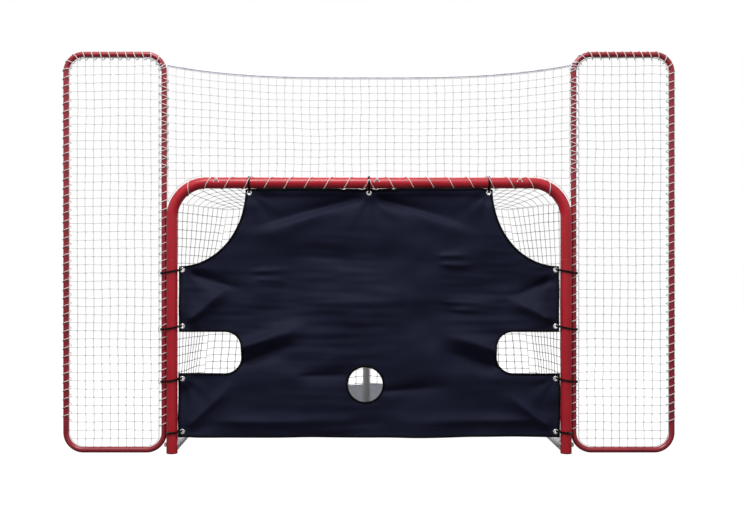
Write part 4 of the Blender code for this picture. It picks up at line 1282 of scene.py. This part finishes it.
def target():
    """The cloth in the mouth, its black binding and its stitches."""
    outline = target_outline()
    holes = [(FIVE_HOLE_X, FIVE_HOLE_Z, FIVE_HOLE_R, 72)]
    holes += [(x, z, EYELET_R - 0.002, 20) for x, z in EYELET_SPOTS]
    places, faces = cloth_triangles(outline, holes)
    used = sorted({index for face in faces for index in face})
    number = {index: order for order, index in enumerate(used)}
    spots = {index: cloth_point(places[index].x, places[index].y) for index in used}
    points = [spots[index] for index in used]
    corners = [tuple(number[index] for index in face) for face in faces]
    cloth = add_mesh("target_cloth", points, corners, NAVY)
    thicken(cloth, TARGET_T)
    keep(cloth, "goal", "navy_cloth", "target")
    hole_edge = circle(FIVE_HOLE_X, FIVE_HOLE_Z, FIVE_HOLE_R, 96)
    edges = add_binding("target_binding", (outline, hole_edge[::-1]))
    seams = [inset(loop, BIND_WIDTH * 0.72) for loop in (outline, hole_edge[::-1])]
    hem_half = TARGET_HALF_WIDTH - BIND_WIDTH
    seams.append([(x, TARGET_BOTTOM_Z + HEM) for x in steps(-hem_half, hem_half, 200)])
    hem_half = TARGET_TOP_HALF - BIND_WIDTH
    seams.append([(x, TARGET_TOP_Z - HEM) for x in steps(-hem_half, hem_half, 140)])
    stitches = add_stitches("target_stitches", seams)


def inset(line, distance):
    """A closed line moved towards its left hand."""
    moved = []
    for index, (x, z) in enumerate(line):
        before, after = line[index - 1], line[(index + 1) % len(line)]
        way = Vector((after[0] - before[0], after[1] - before[1])).normalized()
        moved.append((x - way.y * distance, z + way.x * distance))
    return moved


def add_binding(name, loops):
    """Tape folded over each edge: front, rim and back."""
    points, faces = [], []
    lift = TARGET_T / 2 + BIND_T
    for loop in loops:
        start = len(points)
        rows = (inset(loop, BIND_WIDTH), inset(loop, BIND_WIDTH * 0.4), loop, inset(loop, -0.0006))
        for index in range(len(loop)):
            spots = [row[index] for row in rows]
            front = [cloth_point(x, z, share * lift) for (x, z), share in zip(spots, (0.85, 1, 0.9, 0))]
            back = [cloth_point(x, z, -share * lift) for (x, z), share in zip(spots[2::-1], (0.9, 1, 0.85))]
            points += front + back
        for index in range(len(loop)):
            low, high = start + 7 * index, start + 7 * ((index + 1) % len(loop))
            for corner in range(7):
                after = (corner + 1) % 7
                faces.append((low + corner, high + corner, high + after, low + after))
    made = add_mesh(name, points, faces, TAPE)
    return keep(made, "goal", "navy_cloth")


def add_stitches(name, seams):
    """Runs of short stitches along the tape's inner edge and the hems."""
    lines = []
    for number, places in enumerate(seams):
        seam = Route([Vector((x, 0, z)) for x, z in places])
        lift = TARGET_T / 2 + (BIND_T if number < 2 else 0.0001)
        count = int(seam.length / STITCH_PITCH)
        for index in range(count):
            ends = [seam.at(seam.length * (index + share) / count)[0] for share in (0.1, 0.4, 0.7)]
            lines.append([cloth_point(spot.x, spot.z, lift + bulge)
                          for spot, bulge in zip(ends, (-0.0003, 0.0003, -0.0003))])
    made = add_strands(name, lines, STITCH_R, THREAD, 4)
    return keep(made, "goal", "navy_cloth")


def eyelets():
    """Rolled metal rings through the cloth."""
    waist = (EYELET_R + EYELET_FLANGE + EYELET_HOLE_R) / 2
    half = (EYELET_R + EYELET_FLANGE - EYELET_HOLE_R) / 2
    turns = [radians(angle) for angle in steps(0, 360, 14)]
    profile = [(EYELET_T / 2 * sin(turn), waist + half * cos(turn)) for turn in turns]
    for name, x, z, _ in tie_places():
        ring = add_turned("ring_" + name, Vector((x, GOAL_Y, z)), Y_AXIS, Z_AXIS, profile, NICKEL, 28)
        keep(ring, "goal", "zinc_steel", "eyelet_" + name)


def smooth_hull(circles, count=40):
    """The taut loop round some circles, as closely spaced points."""
    spots = [Vector(point) for x, z, radius in circles for point in circle(x, z, radius, count)]
    order = convex_hull_2d(spots)
    return [spots[index] for index in order]


def ball_profile():
    """A ball with a line round its middle, cut flat where the cord goes in."""
    profile = [(-BALL_R * 0.93, 0), (-BALL_R * 0.93, BALL_R * 0.36)]
    for degrees in steps(-68, 90, 14):
        turn = radians(degrees)
        ridge = 0.00025 if abs(degrees) < 6 else 0
        profile.append((BALL_R * sin(turn), BALL_R * cos(turn) + ridge))
    return profile


def ties():
    """Braided elastic loops with their balls: round the crossbar, a post, or a post and its wing."""
    post_r = POST_R + TIE_GAP + TIE_D / 2
    wing_r = WING_R + TIE_GAP + TIE_D / 2
    turn_offset = TIE_TURN_R + TIE_PULL
    for name, x, z, side in tie_places():
        if side:
            bends = [(x + side * turn_offset, GOAL_Y, TIE_TURN_R), (side * POST_X, GOAL_Y, post_r)]
            if z > SIDE_TIE_HEIGHTS[0]:
                bends.append((side * WING_X, WING_Y, wing_r))
            loop = [Vector((u, v, tie_height(z, abs(u)))) for u, v in smooth_hull(bends)]
            apart = Z_AXIS
            hold_x, hold_y, hold_r = bends[-1]
            reach = hold_r + BALL_SEAT
            ball = Vector((hold_x + side * reach * cos(BALL_SIDE_ANGLE),
                           hold_y + reach * sin(BALL_SIDE_ANGLE), tie_height(z, abs(hold_x))))
            centre = Vector((hold_x, hold_y, ball.z))
        else:
            bends = [(GOAL_Y, z + turn_offset, TIE_TURN_R), (GOAL_Y, CROSSBAR_Z, post_r)]
            loop = [Vector((x, u, v)) for u, v in smooth_hull(bends)]
            apart = X_AXIS
            reach = post_r + BALL_SEAT
            ball = Vector((x, GOAL_Y + reach * cos(BALL_TOP_ANGLE),
                           CROSSBAR_Z + reach * sin(BALL_TOP_ANGLE)))
            centre = Vector((x, GOAL_Y, CROSSBAR_Z))
        pair = [[point + apart * step for point in loop] for step in (-TIE_STRAND_STEP, TIE_STRAND_STEP)]
        cord = add_strands("elastic_" + name, pair, TIE_STRAND_R, ELASTIC, 12, closed=True)
        keep(cord, "goal", "black_elastic", "tie_" + name)
        way = (ball - centre).normalized()
        knob = add_turned("ball_" + name, ball, way, apart, ball_profile(), PLASTIC, 20)
        keep(knob, "goal", "black_plastic")


def crossbar_station(distance):
    """A place on the crossbar's axis, this far from its middle, and the way out from its bend."""
    side = 1 if distance >= 0 else -1
    beyond = abs(distance) - LEG_X
    if beyond <= 0:
        return Vector((distance, GOAL_Y, CROSSBAR_Z)), Z_AXIS
    angle = beyond / CORNER_R
    up = Vector((side * sin(angle), 0, cos(angle)))
    return Vector((side * LEG_X, GOAL_Y, LEG_TOP_Z)) + up * CORNER_R, up


def crossbar_lacing():
    """The cord wound along the crossbar, which steps over the top ties, and its knots."""
    near_r = POST_R + 0.0004 + LACE_D / 2
    over_r = TIE_REACH + LACE_CROSSING_GAP + LACE_D / 2
    pitch = lace_pitch()
    half = LEG_X + CORNER_R * LACE_ROUND_BEND
    points = []
    for distance in steps(-half, half, int(2 * half / pitch * 30)):
        tie_x = min((0, TOP_TIE_X), key=lambda place: abs(abs(distance) - place))
        away = abs(abs(distance) - tie_x) - LACE_CROSSING_FLAT
        rise = 1 - min(max(away / (LACE_CROSSING_END - LACE_CROSSING_FLAT), 0), 1)
        radius = near_r + (over_r - near_r) * ease(rise)
        angle = LACE_PHASE + tau * abs(distance) / pitch
        place, up = crossbar_station(distance)
        points.append(place - Y_AXIS * (radius * sin(angle)) + up * (radius * cos(angle)))
    lace = add_strands("crossbar_lace", [points], LACE_D / 2, LACE, 8)
    keep(lace, "goal", "white_netting", "crossbar_lacing")
    lines = []
    for x in LACE_KNOTS_X:
        middle = Vector((x, GOAL_Y - LACE_KNOT_R * 0.80, CROSSBAR_Z + LACE_KNOT_R * 0.60))
        for tail in (-1, 1):
            lines.append([middle, middle + Vector((tail * 0.007, -0.0015, -0.006)),
                          middle + Vector((tail * 0.013, -0.0030, -0.016))])
        loop = []
        for turn in steps(0, tau, 36):
            loop.append(middle + Vector((sin(turn) + 2 * sin(2 * turn), -sin(3 * turn),
                                         cos(turn) - 2 * cos(2 * turn))) * 0.0019)
        lines.append(loop)
    keep(add_strands("crossbar_knots", lines, LACE_D / 2 * 0.9, LACE, 8), "goal", "white_netting")


def leftover_solids():
    """The flat bars that stay as the solids have them get a pale matt finish: painted light, which
    brightens them in the shade.
    """
    for name in ("left_base_tongue", "right_base_tongue", "back_bar_tab"):
        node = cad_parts[name]
        node.data.materials.clear()
        node.data.materials.append(LIGHTENED_ZINC)


def ray_share(tree):
    """One for rays from the camera, and for mirror and glass rays."""
    path = add_node(tree, "ShaderNodeLightPath")
    total = path.outputs["Is Camera Ray"]
    for name in ("Is Glossy Ray", "Is Transmission Ray"):
        node = add_node(tree, "ShaderNodeMath", operation="ADD", use_clamp=True)
        tree.links.new(total, node.inputs[0])
        tree.links.new(path.outputs[name], node.inputs[1])
        total = node.outputs[0]
    return total


def surroundings():
    """White all round for the eye, and a weaker fill of light."""
    world = bpy.data.worlds.new("studio")
    bpy.context.scene.world = world
    world.use_nodes = True
    tree = world.node_tree
    fill = tree.nodes["Background"]
    fill.inputs["Color"].default_value = (1, 1, 1, 1)
    fill.inputs["Strength"].default_value = FILL
    white = add_node(tree, "ShaderNodeBackground", color=(1, 1, 1, 1), strength=1)
    mix = add_node(tree, "ShaderNodeMixShader")
    tree.links.new(ray_share(tree), mix.inputs[0])
    tree.links.new(fill.outputs[0], mix.inputs[1])
    tree.links.new(white.outputs[0], mix.inputs[2])
    tree.links.new(mix.outputs[0], tree.nodes["World Output"].inputs["Surface"])


def paper_floor():
    """A pale floor that keeps the shadow."""
    paper = bpy.data.materials.new("paper")
    paper.use_nodes = True
    tree = paper.node_tree
    tree.nodes.remove(tree.nodes["Principled BSDF"])
    matt = add_node(tree, "ShaderNodeBsdfDiffuse", color=(FLOOR_GREY, FLOOR_GREY, FLOOR_GREY, 1))
    glow = add_node(tree, "ShaderNodeEmission")
    strength = add_node(tree, "ShaderNodeMath", operation="MULTIPLY")
    strength.inputs[1].default_value = FLOOR_GLOW
    path = add_node(tree, "ShaderNodeLightPath")
    tree.links.new(path.outputs["Is Camera Ray"], strength.inputs[0])
    tree.links.new(strength.outputs[0], glow.inputs["Strength"])
    both = add_node(tree, "ShaderNodeAddShader")
    tree.links.new(matt.outputs[0], both.inputs[0])
    tree.links.new(glow.outputs[0], both.inputs[1])
    tree.links.new(both.outputs[0], tree.nodes["Material Output"].inputs["Surface"])
    corners = [(x * FLOOR_REACH, y * FLOOR_REACH, 0) for x, y in ((-1, -1), (1, -1), (1, 1), (-1, 1))]
    floor = add_mesh("floor", corners, [(0, 1, 2, 3)], paper)
    floor.location.z = -FLOOR_DROP


def lamps():
    """Two soft lamps that face the goal's middle."""
    for name, place, size, power in (("key", KEY_PLACE, KEY_SIZE, KEY_POWER),
                                     ("rear", REAR_PLACE, REAR_SIZE, REAR_POWER)):
        lamp = bpy.data.lights.new(name, "AREA")
        lamp.shape = "SQUARE"
        lamp.size = size
        lamp.energy = power
        made = bpy.data.objects.new(name, lamp)
        made.location = place
        made.rotation_mode = "QUATERNION"
        made.rotation_quaternion = (Vector((0, 0, 0.9)) - place).to_track_quat("-Z", "Y")
        bpy.context.scene.collection.objects.link(made)


def camera():
    """The photograph's view: level, square on, a little left of the middle."""
    data = bpy.data.cameras.new("camera")
    data.sensor_width = SENSOR
    data.lens = FOCAL_PIXELS * SENSOR / IMAGE_WIDTH
    data.shift_x = AXIS_RIGHT / IMAGE_WIDTH
    data.shift_y = -AXIS_BELOW / IMAGE_WIDTH
    made = bpy.data.objects.new("camera", data)
    made.location = (CAMERA_X, GOAL_Y - CAMERA_DISTANCE, CAMERA_Z)
    made.rotation_euler = (radians(90), 0, 0)
    bpy.context.scene.collection.objects.link(made)
    bpy.context.scene.camera = made


noise.seed_set(NET_SEED)
bpy.context.scene.view_settings.view_transform = "Standard"
camera()
backstop()
goal_frame()
white_base()
for label, side in SIDES:
    wing_tubes(label, side)
    wing_net(label, side)
    wing_lacing(label, side)
goal_net()
base_lacing()
net_hooks()
skirt()
target()
eyelets()
ties()
crossbar_lacing()
leftover_solids()
surroundings()
paper_floor()
lamps()
